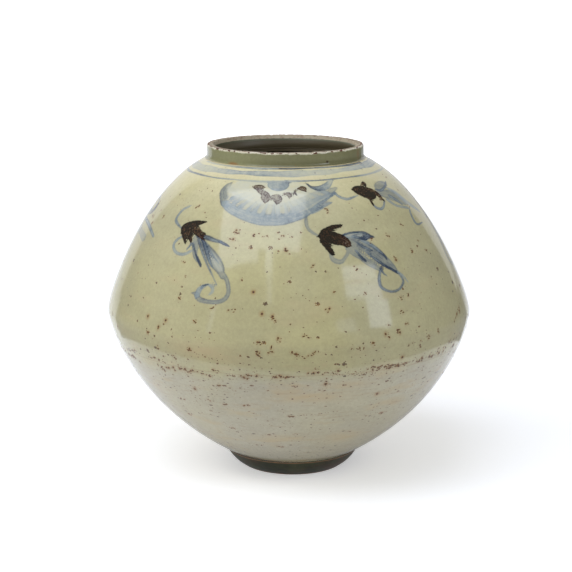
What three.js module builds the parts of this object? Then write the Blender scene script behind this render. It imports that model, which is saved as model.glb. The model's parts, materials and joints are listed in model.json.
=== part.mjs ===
// A wide-bellied, hand-thrown stoneware jar: two bowls luted rim to rim a little below the belly,
// a low collar luted onto the shoulder and a tapered foot ring luted under the base.
// Millimetres, +Z up. The origin is on the table, under the middle of the belly.
import * as THREE from "three";

// Heights above the table
const FOOT_HEIGHT = 17.5;
const JOINT_HEIGHT = 134;
const BELLY_HEIGHT = 161.5;
const SHOULDER_HEIGHT = 310.5;

// The thrown wall: outer radii, and its angles above the horizontal at the base and at the shoulder
const BASE_RADIUS = 67;
const BELLY_RADIUS = 180;
const BASE_ANGLE = 29.6;
const SHOULDER_ANGLE = 25.4;

// How far each end of a wall curve keeps its direction, as a share of that curve's chord
const BASE_FULLNESS = 0.59;
const BELLY_FULLNESS_BELOW = 0.075;
const BELLY_FULLNESS_ABOVE = 0.08;
const SHOULDER_FULLNESS = 0.38;

// The clay: wall, floor, the round corner between them, and the swell inside the joined rims
const WALL = 7.5;
const FLOOR = 11;
const FLOOR_CORNER = 10;
const RIM_SWELL = 3.5;
const RIM_SWELL_REACH = 18;

// The collar, its flared base and its lip
const MOUTH_RADIUS = 69;
const COLLAR_WALL = 8;
const COLLAR_HEIGHT = 13;
const FLARE_WIDTH = 2;
const FLARE_HEIGHT = 4;
const LIP_ROUNDING = 1.6;
const LIP_BEVEL_WIDTH = 2.6;
const LIP_BEVEL_DEPTH = 3.4;

// The foot ring: its land on the table, its seat under the bowl and its slightly full outer side
const LAND_INNER_RADIUS = 43;
const LAND_OUTER_RADIUS = 51;
const LAND_EDGE = 1.5;
const FOOT_SEAT_INNER_RADIUS = 48;
const FOOT_BULGE = 1.6;

// The luted joints: slip fills the gap, and a bead of it is squeezed out inside the jar.
const SLIP_THICKNESS = 0.8;
const SLIP_BEAD = 1.2;

// The joined rims hold a V-shaped tongue in a groove, and the two seats are scored with fine rings.
const TONGUE_DEPTH = 2.4;
const TONGUE_WIDTH = 5;
const SCORE_DEPTH = 0.8;
const SCORE_WIDTH = 2;
const COLLAR_SCORES = 2;
const FOOT_SCORES = 2;

// The whole jar leans by this many millimetres sideways for each millimetre of height.
const LEAN = 0.0237;

// Fineness of the facets
const AROUND = 52;
const STEPS_PER_CURVE = 12;
const STEPS_PER_CORNER = 3;
const SHORTEST_STEP = 1.5;

const UNDERSIDE = FOOT_HEIGHT + SLIP_THICKNESS;
const FLOOR_TOP = UNDERSIDE + FLOOR;
const COLLAR_OUTER_RADIUS = MOUTH_RADIUS + COLLAR_WALL;
const SEAT_RADIUS = COLLAR_OUTER_RADIUS + FLARE_WIDTH;

const point = (radius, height) => new THREE.Vector2(radius, height);

// A unit step at so many degrees above the outward horizontal
function heading(degrees) {
  const angle = THREE.MathUtils.degToRad(degrees);
  return point(Math.cos(angle), Math.sin(angle));
}

// A cubic curve between two places that leaves the first, and meets the second, on given headings
function wallCurve(from, fromHeading, fromFullness, to, toHeading, toFullness) {
  const chord = from.distanceTo(to);
  return new THREE.CubicBezierCurve(
    from,
    from.clone().addScaledVector(fromHeading, fromFullness * chord),
    to.clone().addScaledVector(toHeading, -toFullness * chord),
    to,
  );
}

function wallCurves() {
  const base = point(BASE_RADIUS, UNDERSIDE);
  const belly = point(BELLY_RADIUS, BELLY_HEIGHT);
  const shoulder = point(SEAT_RADIUS, SHOULDER_HEIGHT);
  const upright = heading(90);
  const inward = heading(180 - SHOULDER_ANGLE);
  return [
    wallCurve(base, heading(BASE_ANGLE), BASE_FULLNESS, belly, upright, BELLY_FULLNESS_BELOW),
    wallCurve(belly, upright, BELLY_FULLNESS_ABOVE, shoulder, inward, SHOULDER_FULLNESS),
  ];
}

// The extra clay left inside the wall near the joined rims
function rimSwell(height) {
  const distance = Math.abs(height - JOINT_HEIGHT) / RIM_SWELL_REACH;
  return distance < 1 ? RIM_SWELL * Math.cos((distance * Math.PI) / 2) ** 2 : 0;
}

// The thrown wall from base to shoulder: its outer and inner radius at each height, going up
function wallSections() {
  const sections = [];
  for (const curve of wallCurves()) {
    for (let step = sections.length ? 1 : 0; step <= STEPS_PER_CURVE; step += 1) {
      const share = step / STEPS_PER_CURVE;
      const { x: outer, y: height } = curve.getPoint(share);
      const levelThickness = WALL / curve.getTangent(share).y;
      sections.push({ height, outer, inner: outer - levelThickness - rimSwell(height) });
    }
  }
  return sections;
}

const SECTIONS = wallSections();

// The wanted field at the place where the known one, which rises along the sections, has a value
function lookUp(sections, wanted, known, value) {
  const last = sections.length - 1;
  const passed = sections.filter((section) => section[known] <= value).length;
  const next = THREE.MathUtils.clamp(passed, 1, last);
  const low = sections[next - 1];
  const high = sections[next];
  const share = (value - low[known]) / (high[known] - low[known]);
  return THREE.MathUtils.lerp(low[wanted], high[wanted], share);
}

const radiusAt = (face, height) => lookUp(SECTIONS, face, "height", height);

// One face of the wall between two heights, going up, without the points at its ends
function wallFace(face, low, high) {
  const inside = SECTIONS.filter(
    ({ height }) => height > low + SHORTEST_STEP && height < high - SHORTEST_STEP,
  );
  return inside.map((section) => point(section[face], section.height));
}

// A luted joint between a lower and an upper piece, with ridges that are centred across its seat
function lutedJoint(height, radii, ridges) {
  const { outerBelow, innerBelow, outerAbove = outerBelow, innerAbove = innerBelow } = radii;
  const middle = (outerBelow + innerBelow) / 2;
  const above = height + SLIP_THICKNESS;
  return { below: height, above, outerBelow, innerBelow, outerAbove, innerAbove, middle, ridges };
}

function rimJoint() {
  const below = JOINT_HEIGHT - SLIP_THICKNESS / 2;
  const above = JOINT_HEIGHT + SLIP_THICKNESS / 2;
  const radii = {
    outerBelow: radiusAt("outer", below),
    innerBelow: radiusAt("inner", below),
    outerAbove: radiusAt("outer", above),
    innerAbove: radiusAt("inner", above),
  };
  return lutedJoint(below, radii, { count: 1, width: TONGUE_WIDTH, depth: TONGUE_DEPTH });
}

const RIM_JOINT = rimJoint();

const FOOT_JOINT = lutedJoint(
  FOOT_HEIGHT,
  { outerBelow: BASE_RADIUS, innerBelow: FOOT_SEAT_INNER_RADIUS },
  { count: FOOT_SCORES, width: SCORE_WIDTH, depth: SCORE_DEPTH },
);

const COLLAR_JOINT = lutedJoint(
  SHOULDER_HEIGHT,
  { outerBelow: SEAT_RADIUS, innerBelow: MOUTH_RADIUS },
  { count: COLLAR_SCORES, width: SCORE_WIDTH, depth: SCORE_DEPTH },
);

// The downward Vs across a seat at a given height, from its inner side to its outer side
function seatRidges({ middle, ridges }, height) {
  const start = middle - (ridges.count * ridges.width) / 2;
  const points = [point(start, height)];
  for (let ridge = 1; ridge <= ridges.count; ridge += 1) {
    const end = start + ridge * ridges.width;
    points.push(point(end - ridges.width / 2, height - ridges.depth), point(end, height));
  }
  return points;
}

// The top of a joint's lower piece, from its outer side to its inner side
const topSeat = (joint) => [
  point(joint.outerBelow, joint.below),
  ...seatRidges(joint, joint.below).reverse(),
  point(joint.innerBelow, joint.below),
];

// The underside of a joint's upper piece, from its inner side to its outer side
const bottomSeat = (joint) => [
  point(joint.innerAbove, joint.above),
  ...seatRidges(joint, joint.above),
  point(joint.outerAbove, joint.above),
];

// A rounded corner between two lines, from a place on the first to a place on the second
function roundedCorner(from, corner, to) {
  return new THREE.QuadraticBezierCurve(from, corner, to).getPoints(STEPS_PER_CORNER);
}

// Turns a closed profile, listed anticlockwise, round the jar's axis and lets it lean
function turned(profile) {
  const geometry = new THREE.LatheGeometry([...profile, profile[0]], AROUND);
  geometry.rotateX(Math.PI / 2);
  const lean = new THREE.Matrix4().makeShear(0, 0, 0, 0, -LEAN, 0);
  const uprightAtBelly = new THREE.Matrix4().makeTranslation(LEAN * BELLY_HEIGHT, 0, 0);
  return geometry.applyMatrix4(uprightAtBelly.multiply(lean));
}

function footRing() {
  const foot = point(LAND_OUTER_RADIUS, 0);
  const side = point(BASE_RADIUS, FOOT_HEIGHT).sub(foot);
  const outward = point(side.y, -side.x).normalize();
  return turned([
    point(LAND_INNER_RADIUS + LAND_EDGE, 0),
    point(LAND_OUTER_RADIUS - LAND_EDGE, 0),
    foot.clone().addScaledVector(side, LAND_EDGE / FOOT_HEIGHT),
    foot.clone().addScaledVector(side, 0.5).addScaledVector(outward, FOOT_BULGE),
    ...topSeat(FOOT_JOINT),
    point(LAND_INNER_RADIUS, LAND_EDGE),
  ]);
}

function lowerBowl() {
  const cornerTop = FLOOR_TOP + FLOOR_CORNER / 2;
  const corner = point(radiusAt("inner", FLOOR_TOP), FLOOR_TOP);
  return turned([
    point(0, UNDERSIDE),
    ...bottomSeat(FOOT_JOINT),
    ...wallFace("outer", UNDERSIDE, RIM_JOINT.below),
    ...topSeat(RIM_JOINT),
    ...wallFace("inner", cornerTop, RIM_JOINT.below).reverse(),
    ...roundedCorner(
      point(radiusAt("inner", cornerTop), cornerTop),
      corner,
      point(corner.x - FLOOR_CORNER, FLOOR_TOP),
    ),
    point(0, FLOOR_TOP),
  ]);
}

// Where the inside of the shoulder has closed in to the mouth
function throatHeight() {
  const closing = SECTIONS.filter(({ height }) => height > BELLY_HEIGHT).reverse();
  return lookUp(closing, "height", "inner", MOUTH_RADIUS);
}

function upperBowl() {
  const throat = throatHeight();
  return turned([
    ...bottomSeat(RIM_JOINT),
    ...wallFace("outer", RIM_JOINT.above, SHOULDER_HEIGHT),
    ...topSeat(COLLAR_JOINT),
    point(MOUTH_RADIUS, throat),
    ...wallFace("inner", RIM_JOINT.above, throat).reverse(),
  ]);
}

function collar() {
  const base = COLLAR_JOINT.above;
  const lip = base + COLLAR_HEIGHT;
  return turned([
    ...bottomSeat(COLLAR_JOINT).slice(0, -1),
    ...roundedCorner(
      point(SEAT_RADIUS, base),
      point(COLLAR_OUTER_RADIUS, base),
      point(COLLAR_OUTER_RADIUS, base + FLARE_HEIGHT),
    ),
    ...roundedCorner(
      point(COLLAR_OUTER_RADIUS, lip - LIP_ROUNDING),
      point(COLLAR_OUTER_RADIUS, lip),
      point(COLLAR_OUTER_RADIUS - LIP_ROUNDING, lip),
    ),
    point(MOUTH_RADIUS + LIP_BEVEL_WIDTH, lip),
    point(MOUTH_RADIUS, lip - LIP_BEVEL_DEPTH),
  ]);
}

// The slip between two seats: flush outside, and squeezed out in a small bead inside
function slipLayer(joint) {
  const bead = Math.min(joint.innerBelow, joint.innerAbove) - SLIP_BEAD;
  return turned([
    point(bead, (joint.below + joint.above) / 2),
    ...topSeat(joint).reverse(),
    ...bottomSeat(joint).reverse(),
  ]);
}

const glaze = (color) => ({ color, roughness: 0.22, metalness: 0 });
const bareClay = (color) => ({ color, roughness: 0.8, metalness: 0 });

const PIECES = {
  foot_ring: [footRing(), glaze(0x3b3a30)],
  foot_joint_slip: [slipLayer(FOOT_JOINT), bareClay(0x8a5a3e)],
  lower_bowl: [lowerBowl(), glaze(0xb9b3a0)],
  belly_joint_slip: [slipLayer(RIM_JOINT), bareClay(0x9c7f68)],
  upper_bowl: [upperBowl(), glaze(0xb7b48c)],
  collar_joint_slip: [slipLayer(COLLAR_JOINT), bareClay(0x9c7f68)],
  collar: [collar(), glaze(0x9a9b7a)],
};

const jar = new THREE.Group();
for (const [name, [geometry, finish]] of Object.entries(PIECES)) {
  const mesh = new THREE.Mesh(geometry, new THREE.MeshStandardMaterial(finish));
  mesh.name = name;
  jar.add(mesh);
}

export default jar;
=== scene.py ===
"""A wide-bellied stoneware jar, thrown in two bowls and luted together, then painted and glazed.

Everything is in metres, in the frame of the jar's solid pieces: +Z is up and -Y is the front.
Angles round the jar are 0 at the front and grow towards +X. Brushwork is drawn in millimetres.
"""
import json
import math
from functools import partial, reduce

import bpy
import numpy as np
from mathutils import Color, Euler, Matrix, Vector
from mathutils.bvhtree import BVHTree
from mathutils.kdtree import KDTree

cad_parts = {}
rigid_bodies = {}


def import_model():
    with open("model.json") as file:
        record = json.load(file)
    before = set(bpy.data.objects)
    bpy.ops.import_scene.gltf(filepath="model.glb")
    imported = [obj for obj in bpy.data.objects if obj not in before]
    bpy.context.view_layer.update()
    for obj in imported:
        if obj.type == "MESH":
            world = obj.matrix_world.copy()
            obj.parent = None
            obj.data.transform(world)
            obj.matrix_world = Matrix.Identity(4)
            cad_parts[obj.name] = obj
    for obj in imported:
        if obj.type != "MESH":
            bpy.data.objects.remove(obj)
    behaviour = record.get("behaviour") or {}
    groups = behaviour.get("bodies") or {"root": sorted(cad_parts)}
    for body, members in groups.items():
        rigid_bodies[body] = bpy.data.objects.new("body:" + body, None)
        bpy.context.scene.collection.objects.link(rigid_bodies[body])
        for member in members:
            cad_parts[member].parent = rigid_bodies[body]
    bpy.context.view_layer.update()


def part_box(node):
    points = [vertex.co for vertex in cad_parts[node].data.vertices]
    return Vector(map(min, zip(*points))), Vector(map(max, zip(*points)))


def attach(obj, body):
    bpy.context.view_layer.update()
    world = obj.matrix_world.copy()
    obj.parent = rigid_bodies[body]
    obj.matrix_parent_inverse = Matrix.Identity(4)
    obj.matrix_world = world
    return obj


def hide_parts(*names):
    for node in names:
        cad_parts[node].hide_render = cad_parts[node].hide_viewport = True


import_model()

bl_info = {
    "name": "Luted stoneware jar",
    "version": (1, 0, 0),
    "blender": (4, 5, 0),
    "location": "View3D > Sidebar > Jar",
    "description": "Throws, paints, glazes and pits a two-part stoneware jar, and lights it",
    "category": "Object",
}

MM = 0.001


def reach(node):
    """How far a solid piece reaches from the jar's axis towards the front."""
    return -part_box(node)[0].y


# Heights and radii of the solid pieces
FOOT_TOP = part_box("foot_ring")[1].z
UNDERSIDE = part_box("foot_joint_slip")[1].z
FOOT_SCORE = FOOT_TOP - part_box("foot_joint_slip")[0].z
RIM_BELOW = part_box("lower_bowl")[1].z
RIM_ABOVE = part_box("belly_joint_slip")[1].z
RIM_TONGUE = RIM_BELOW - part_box("belly_joint_slip")[0].z
JOINT = (RIM_BELOW + RIM_ABOVE) / 2
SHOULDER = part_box("upper_bowl")[1].z
COLLAR_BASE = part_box("collar_joint_slip")[1].z
COLLAR_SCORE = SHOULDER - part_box("collar_joint_slip")[0].z
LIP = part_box("collar")[1].z
BASE_RADIUS = reach("foot_ring")
BELLY_RADIUS = reach("upper_bowl")
SEAT_RADIUS = reach("collar")


def size(name, description, default):
    """A length that a user may change."""
    return bpy.props.FloatProperty(
        name=name, description=description, default=default, precision=4, unit="LENGTH"
    )


def share(name, description, default, **more):
    """A plain number that a user may change."""
    settings = {"name": name, "description": description, "default": default}
    return bpy.props.FloatProperty(precision=3, **settings, **more)


def turn(name, description, degrees):
    """An angle that a user may change."""
    return bpy.props.FloatProperty(
        name=name, description=description, default=math.radians(degrees), subtype="ANGLE"
    )


def paint_colour(name, description, *default):
    """A colour that a user may change."""
    return bpy.props.FloatVectorProperty(
        name=name, description=description, default=default, subtype="COLOR", min=0, max=1
    )


def count(name, description, default):
    """A whole number that a user may change."""
    return bpy.props.IntProperty(name=name, description=description, default=default, min=0)


class JarForm(bpy.types.PropertyGroup):
    """The thrown form, inside the heights and radii that the solid pieces give."""

    belly_height: size("Belly height", "Height of the widest part", 161.5 * MM)
    base_angle: turn("Base angle", "Rise of the wall at the base", 29.6)
    shoulder_angle: turn("Shoulder angle", "Slope of the wall at the collar", 25.4)
    base_fullness: share("Base fullness", "How far the wall keeps its slope at the base", 0.59)
    fullness_below: share("Fullness below", "How long the wall stays upright below the belly", 0.075)
    fullness_above: share("Fullness above", "How long the wall stays upright above the belly", 0.08)
    shoulder_fullness: share("Shoulder fullness", "How far the slope keeps at the collar", 0.38)
    wall: size("Wall", "Thickness of the clay", 7.5 * MM)
    floor: size("Floor", "Thickness of the floor", 11 * MM)
    floor_corner: size("Floor corner", "Rounding between floor and wall", 10 * MM)
    rim_swell: size("Rim swell", "Extra clay inside the joined rims", 3.5 * MM)
    rim_swell_reach: size("Rim swell reach", "How far that clay runs up and down", 18 * MM)
    mouth_radius: size("Mouth radius", "Clear radius of the mouth", 69 * MM)
    collar_wall: size("Collar wall", "Thickness of the collar", 8 * MM)
    flare_height: size("Flare height", "Height of the collar's spread base", 4 * MM)
    lip_rounding: size("Lip rounding", "Rounding of the lip's outer edge", 1.6 * MM)
    lip_bevel_width: size("Lip bevel width", "Width of the worn inner bevel", 2.6 * MM)
    lip_bevel_depth: size("Lip bevel depth", "Depth of the worn inner bevel", 3.4 * MM)
    land_inner: size("Land, inside", "Inner radius of the foot at the table", 43 * MM)
    land_outer: size("Land, outside", "Outer radius of the foot at the table", 51 * MM)
    land_edge: size("Land edge", "Bevel of the foot at the table", 1.5 * MM)
    foot_seat: size("Foot seat", "Inner radius of the foot at the top", 48 * MM)
    foot_bulge: size("Foot bulge", "Fullness of the foot's side", 1.6 * MM)
    slip_bead: size("Slip bead", "How far slip is squeezed out inside", 1.2 * MM)
    tongue_width: size("Tongue width", "Width of the key in the joined rims", 5 * MM)
    score_width: size("Score width", "Width of a scored ring in a seat", 2 * MM)
    lean: share("Lean", "Sideways lean for each unit of height", 0.0237, min=-0.2, max=0.2)
    unevenness: size("Unevenness", "How far the hand-thrown wall strays", 0.5 * MM)
    turning_lines: size("Turning lines", "Depth of the faint rings outside", 0.06 * MM)
    ridge_depth: size("Throwing ridges", "Depth of the finger spiral inside", 0.7 * MM)
    ridge_pitch: size("Ridge pitch", "Rise of the finger spiral in one turn", 13 * MM)
    chip_depth: size("Lip wear", "Depth of the wear on the lip", 0.7 * MM)
    columns: count("Columns", "Facets round the jar", 540)


class JarGlaze(bpy.types.PropertyGroup):
    """Colours and gloss of the glazes and the bare clay, with painted light and shade on the collar, the
    lip, the inside and the lower glaze.
    """

    neck: paint_colour("Neck", "Body glaze beside the collar", 0.575, 0.525, 0.315)
    shoulder: paint_colour("Shoulder", "Body glaze on the shoulder", 0.42, 0.388, 0.228)
    belly: paint_colour("Belly", "Body glaze on the belly", 0.388, 0.358, 0.202)
    # Partly painted light: these three colours, from above the joint down, are painted paler where the wall
    # faces down, over the glaze's own paler tone
    above_joint: paint_colour("Above the joint", "Body glaze over the joint", 0.43, 0.396, 0.232)
    below_joint: paint_colour("Below the joint", "Body glaze under the joint", 0.425, 0.39, 0.28)
    lower: paint_colour("Lower bowl", "Thin body glaze low down", 0.415, 0.38, 0.278)
    hem: paint_colour("Hem", "Rusty line where the dark glaze begins", 0.3, 0.15, 0.07)
    crust: paint_colour("Crust", "Pale glaze round some of the specks", 0.6, 0.57, 0.45)
    collar: paint_colour("Collar", "Glaze on the collar's outside", 0.18, 0.175, 0.088)
    # Painted light: the collar is painted lighter on its left, where the light falls
    collar_left_painted_light: paint_colour("Collar, left", "Thinner glaze on the collar's left", 0.215, 0.213, 0.105)
    # Painted shade: the collar is painted darker low down, by the shoulder
    collar_low_shade: paint_colour("Collar, low", "Glaze low on the collar", 0.13, 0.125, 0.06)
    throat: paint_colour("Throat", "Glaze just inside the mouth", 0.1, 0.102, 0.06)
    # Painted shade: the inside of the jar is painted dark for the shade within it, the next colour
    # streaking it paler
    inside: paint_colour("Inside", "Dark wash inside the jar", 0.072, 0.058, 0.03)
    inside_shade_paler: paint_colour("Inside, light", "Thinner dark wash inside the jar", 0.09, 0.072, 0.042)
    lip_clay: paint_colour("Lip clay", "Worn clay on the lip", 0.32, 0.27, 0.18)
    lip_rust: paint_colour("Lip rust", "Rust along the edges of the worn lip", 0.15, 0.055, 0.025)
    lip_dots: paint_colour("Lip dots", "Dark chips on the edge of the lip", 0.085, 0.024, 0.01)
    # Partly the thin glaze breaking white at the lip's edge, partly a painted highlight on its outer
    # rounding
    lip_glaze_and_highlight: paint_colour("Lip glaze", "Thin glaze that breaks white on the lip", 0.56, 0.52, 0.38)
    foot_line: size("Foot line", "Height at which the foot's dark glaze ends in front", 18.8 * MM)
    foot: paint_colour("Foot", "Dark glaze on the foot", 0.024, 0.026, 0.013)
    foot_light: paint_colour("Foot, light", "Thinner dark glaze on the foot", 0.045, 0.048, 0.024)
    foot_brown: paint_colour("Foot brown", "Brown clay through the foot's glaze", 0.05, 0.026, 0.015)
    bare_clay: paint_colour("Bare clay", "Fired clay with no glaze", 0.25, 0.14, 0.08)
    clay_dark: paint_colour("Dark clay", "Darker flecks in the bare clay", 0.14, 0.08, 0.05)
    slip: paint_colour("Slip", "Fired slip in the joints", 0.32, 0.2, 0.12)
    peach: paint_colour("Peach", "Warm stains in the glaze", 0.46, 0.365, 0.21)
    warm_cast: paint_colour("Warm cast", "What warmer patches of glaze are multiplied by", 0.93, 0.9, 0.68)
    rust: paint_colour("Rust", "Halo of the pits", 0.24, 0.11, 0.032)
    speck: paint_colour("Speck", "Olive-brown specks in the glaze", 0.12, 0.07, 0.035)
    pit: paint_colour("Pit", "Middle of the pits", 0.028, 0.011, 0.005)
    gloss: share("Roughness", "Roughness of the glaze", 0.1, min=0, max=1)
    dark_index: share("Dark refractive index", "Refractive index of the foot's glaze", 1.36, min=1, max=2.5)
    stone_index: share("Refractive index", "Refractive index of the glaze", 1.5, min=1, max=2.5)


class JarBrush(bpy.types.PropertyGroup):
    """The painted bands and sprays under the glaze."""

    grey_thin: paint_colour("Thin grey", "Washed cobalt of the leaves", 0.19, 0.215, 0.205)
    blue_thin: paint_colour("Thin blue", "Washed cobalt of the lines and petals", 0.235, 0.283, 0.29)
    blue_deep: paint_colour("Deep blue", "Pooled cobalt", 0.024, 0.038, 0.068)
    iron_thin: paint_colour("Thin iron", "Washed iron brown", 0.062, 0.023, 0.009)
    iron_deep: paint_colour("Deep iron", "Pooled iron brown", 0.006, 0.003, 0.002)
    white: paint_colour("White slip", "Slip of the petals", 0.47, 0.47, 0.37)
    band_depth: share("Thick band", "Millimetres from the shoulder to the thick band", 8.9)
    band_width: share("Thick band width", "Its width in millimetres", 7.5)
    line_depth: share("Thin line", "Millimetres from the shoulder to the thin line", 19.5)
    line_width: share("Thin line width", "Its width in millimetres", 2)
    collar_line_depth: share("Collar line", "Millimetres from the shoulder to the collar's line", 1.2)
    collar_line_width: share("Collar line width", "Its width in millimetres", 3)


class JarPits(bpy.types.PropertyGroup):
    """Burst bubbles and iron specks."""

    clusters: count("Clusters", "Groups of pits round the joint", 84)
    scattered: count("Scattered clumps", "Clumps of pits on the sides and the back", 210)
    seed: count("Seed", "Choice of places", 7)
    tilt: share("Ring tilt", "Rise of the ring of pits for each unit towards +X", 0.027)
    smallest: size("Smallest pit", "Radius of the smallest pit", 0.25 * MM)
    largest: size("Largest pit", "Radius of the largest pit", 1.45 * MM)


class JarStudio(bpy.types.PropertyGroup):
    """Camera, floor and lights."""

    camera_side: size("Camera side", "Camera's place along X", -2.9 * MM)
    camera_distance: size("Camera distance", "Camera's distance from the jar's axis", 1.6)
    camera_height: size("Camera height", "Camera's height above the floor", 0.518)
    camera_tilt: turn("Camera tilt", "How far the camera looks down", 11.9)
    lens: share("Lens", "Focal length in millimetres on a 36 mm sensor", 102.84)
    room_left: share("Room light, left", "Brightness of the room on the left", 0.23, min=0)
    room_right: share("Room light, right", "Brightness of the room on the right", 0.16, min=0)
    backdrop_left: share("Backdrop light, left", "Brightness of the wall behind the jar", 0.9, min=0)
    backdrop_right: share("Backdrop light, right", "Brightness of that wall on the right", 0.75, min=0)
    wall_left: turn("Wall, left", "Reach of the white wall behind the jar to the left", 38)
    wall_right: turn("Wall, right", "Reach of the white wall behind the jar to the right", 36)
    floor_left: turn("Paper, left", "Reach of the white paper on the floor to the left", 42.5)
    floor_right: turn("Paper, right", "Reach of the white paper on the floor to the right", 32)
    paper_from: size("Paper start", "How far before the jar the paper starts", 0.15)
    floor_colour: paint_colour("Floor", "Floor round the turntable", 0.4, 0.4, 0.4)
    table_colour: paint_colour("Turntable", "White top under the jar", 0.85, 0.85, 0.84)
    floor_radius: size("Floor radius", "Reach of the floor", 25.0)
    table_radius: size("Turntable radius", "Reach of the white top", 0.378)
    table_back: size("Turntable place", "How far the white top sits behind the jar", 0.1)


# Nodes

FLOAT = "NodeSocketFloat"
WHOLE = "NodeSocketInt"
VECTOR = "NodeSocketVector"
COLOUR = "NodeSocketColor"
GEOMETRY = "NodeSocketGeometry"
MATERIAL = "NodeSocketMaterial"
COLLECTION = "NodeSocketCollection"


class Bench:
    """A node tree on the bench: each call adds a node and gives back one of its sockets."""

    def __init__(self, tree):
        self.tree = tree

    def node(self, kind, sockets=None, **settings):
        """Adds a node, sets its options, and fills or links its inputs."""
        made = self.tree.nodes.new(kind)
        for name, value in settings.items():
            setattr(made, name, value)
        for key, value in (sockets or {}).items():
            if isinstance(value, bpy.types.NodeSocket):
                self.tree.links.new(value, made.inputs[key])
            else:
                made.inputs[key].default_value = opaque(value) if isinstance(value, Color) else value
        return made

    def made(self, kind, sockets=None, **settings):
        """Adds a node and gives its first output."""
        return self.node(kind, sockets, **settings).outputs[0]

    def maths(self, operation, *values):
        """One step of arithmetic."""
        return self.made("ShaderNodeMath", dict(enumerate(values)), operation=operation)

    def total(self, *values):
        """The sum of several values."""
        return reduce(partial(self.maths, "ADD"), values)

    def product(self, *values):
        """The product of several values."""
        return reduce(partial(self.maths, "MULTIPLY"), values)

    def less(self, value, taken):
        """One value less another."""
        return self.maths("SUBTRACT", value, taken)

    def most(self, first, second):
        """The larger of two values."""
        return self.maths("MAXIMUM", first, second)

    def between(self, value, low, high, to_low=0.0, to_high=1.0, smooth=True):
        """A value carried from one span to another, and held at its ends."""
        kind = "SMOOTHSTEP" if smooth else "LINEAR"
        sockets = {0: value, 1: low, 2: high, 3: to_low, 4: to_high}
        return self.made("ShaderNodeMapRange", sockets, interpolation_type=kind)

    def near(self, value, middle, clear, whole):
        """How near a value is to a middle: none at one distance from it, and all at a lesser one."""
        return self.between(self.maths("ABSOLUTE", self.total(value, -middle)), clear, whole)

    def vector(self, *parts):
        """A vector from its three parts."""
        return self.made("ShaderNodeCombineXYZ", dict(enumerate(parts)))

    def parts(self, vector):
        """The three parts of a vector."""
        return self.node("ShaderNodeSeparateXYZ", {0: vector}).outputs

    def cloud(self, place, scale, detail=2.0, roughness=0.5):
        """Soft noise, 0 to 1."""
        sockets = {"Vector": place, "Scale": scale, "Detail": detail, "Roughness": roughness}
        return self.node("ShaderNodeTexNoise", sockets).outputs["Fac"]

    def ripple(self, *settings):
        """Soft noise, centred on nothing."""
        return self.less(self.cloud(*settings), 0.5)

    def smears(self, place, squeeze, *settings):
        """Soft noise squeezed in height, so that it lies along the turning of the jar."""
        squeezed = {0: place, 1: (1, 1, squeeze)}
        return self.cloud(self.made("ShaderNodeVectorMath", squeezed, operation="MULTIPLY"), *settings)

    def blended(self, factor, first, second, blend="MIX"):
        """Two colours blended."""
        sockets = {0: factor, 6: first, 7: second}
        options = {"data_type": "RGBA", "blend_type": blend, "clamp_factor": True}
        return self.node("ShaderNodeMix", sockets, **options).outputs[2]

    def stored(self, name, output="Fac"):
        """What each point of a piece carries, as a number or a vector."""
        return self.node("ShaderNodeAttribute", attribute_name=name).outputs[output]

    def named(self, name, data_type="FLOAT"):
        """What each point carries, in a geometry tree."""
        return self.made("GeometryNodeInputNamedAttribute", {"Name": name}, data_type=data_type)

    def grouped(self, name, sockets):
        """A shared effect, with this material's values."""
        return self.node("ShaderNodeGroup", sockets, node_tree=bpy.data.node_groups[name]).outputs


def opaque(colour):
    """A property's colour as a node takes it."""
    return (*colour, 1.0)


def new_group(name, kind, inputs, outputs):
    """An empty node group with named sockets of each type: its bench, its inputs and its end node."""
    tree = bpy.data.node_groups.new(name, kind)
    for way, sockets in (("INPUT", inputs), ("OUTPUT", outputs)):
        for socket_type, labels in sockets.items():
            for label in labels:
                tree.interface.new_socket(name=label, in_out=way, socket_type=socket_type)
    start, end = tree.nodes.new("NodeGroupInput"), tree.nodes.new("NodeGroupOutput")
    return Bench(tree), start.outputs, end


def finish_group(bench, end, results):
    """Links the results of a group to its end node and returns the group."""
    for label, socket in results.items():
        bench.tree.links.new(socket, end.inputs[label])
    return bench.tree


def finish_geometry(bench, end, shape, material):
    """Ends a geometry tree with a plain mesh in its material."""
    plain = bench.made("GeometryNodeRealizeInstances", {"Geometry": shape})
    dressed = bench.made("GeometryNodeSetMaterial", {"Geometry": plain, "Material": material})
    return finish_group(bench, end, {"Geometry": dressed})


# Geometry Nodes

# Points closer than this are made one, which closes the seam and the poles
CLOSING_GAP = 0.002 * MM
# Within this radius nothing strays, so that the middle of the floor stays whole
STILL_RADIUS = 30 * MM


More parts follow.
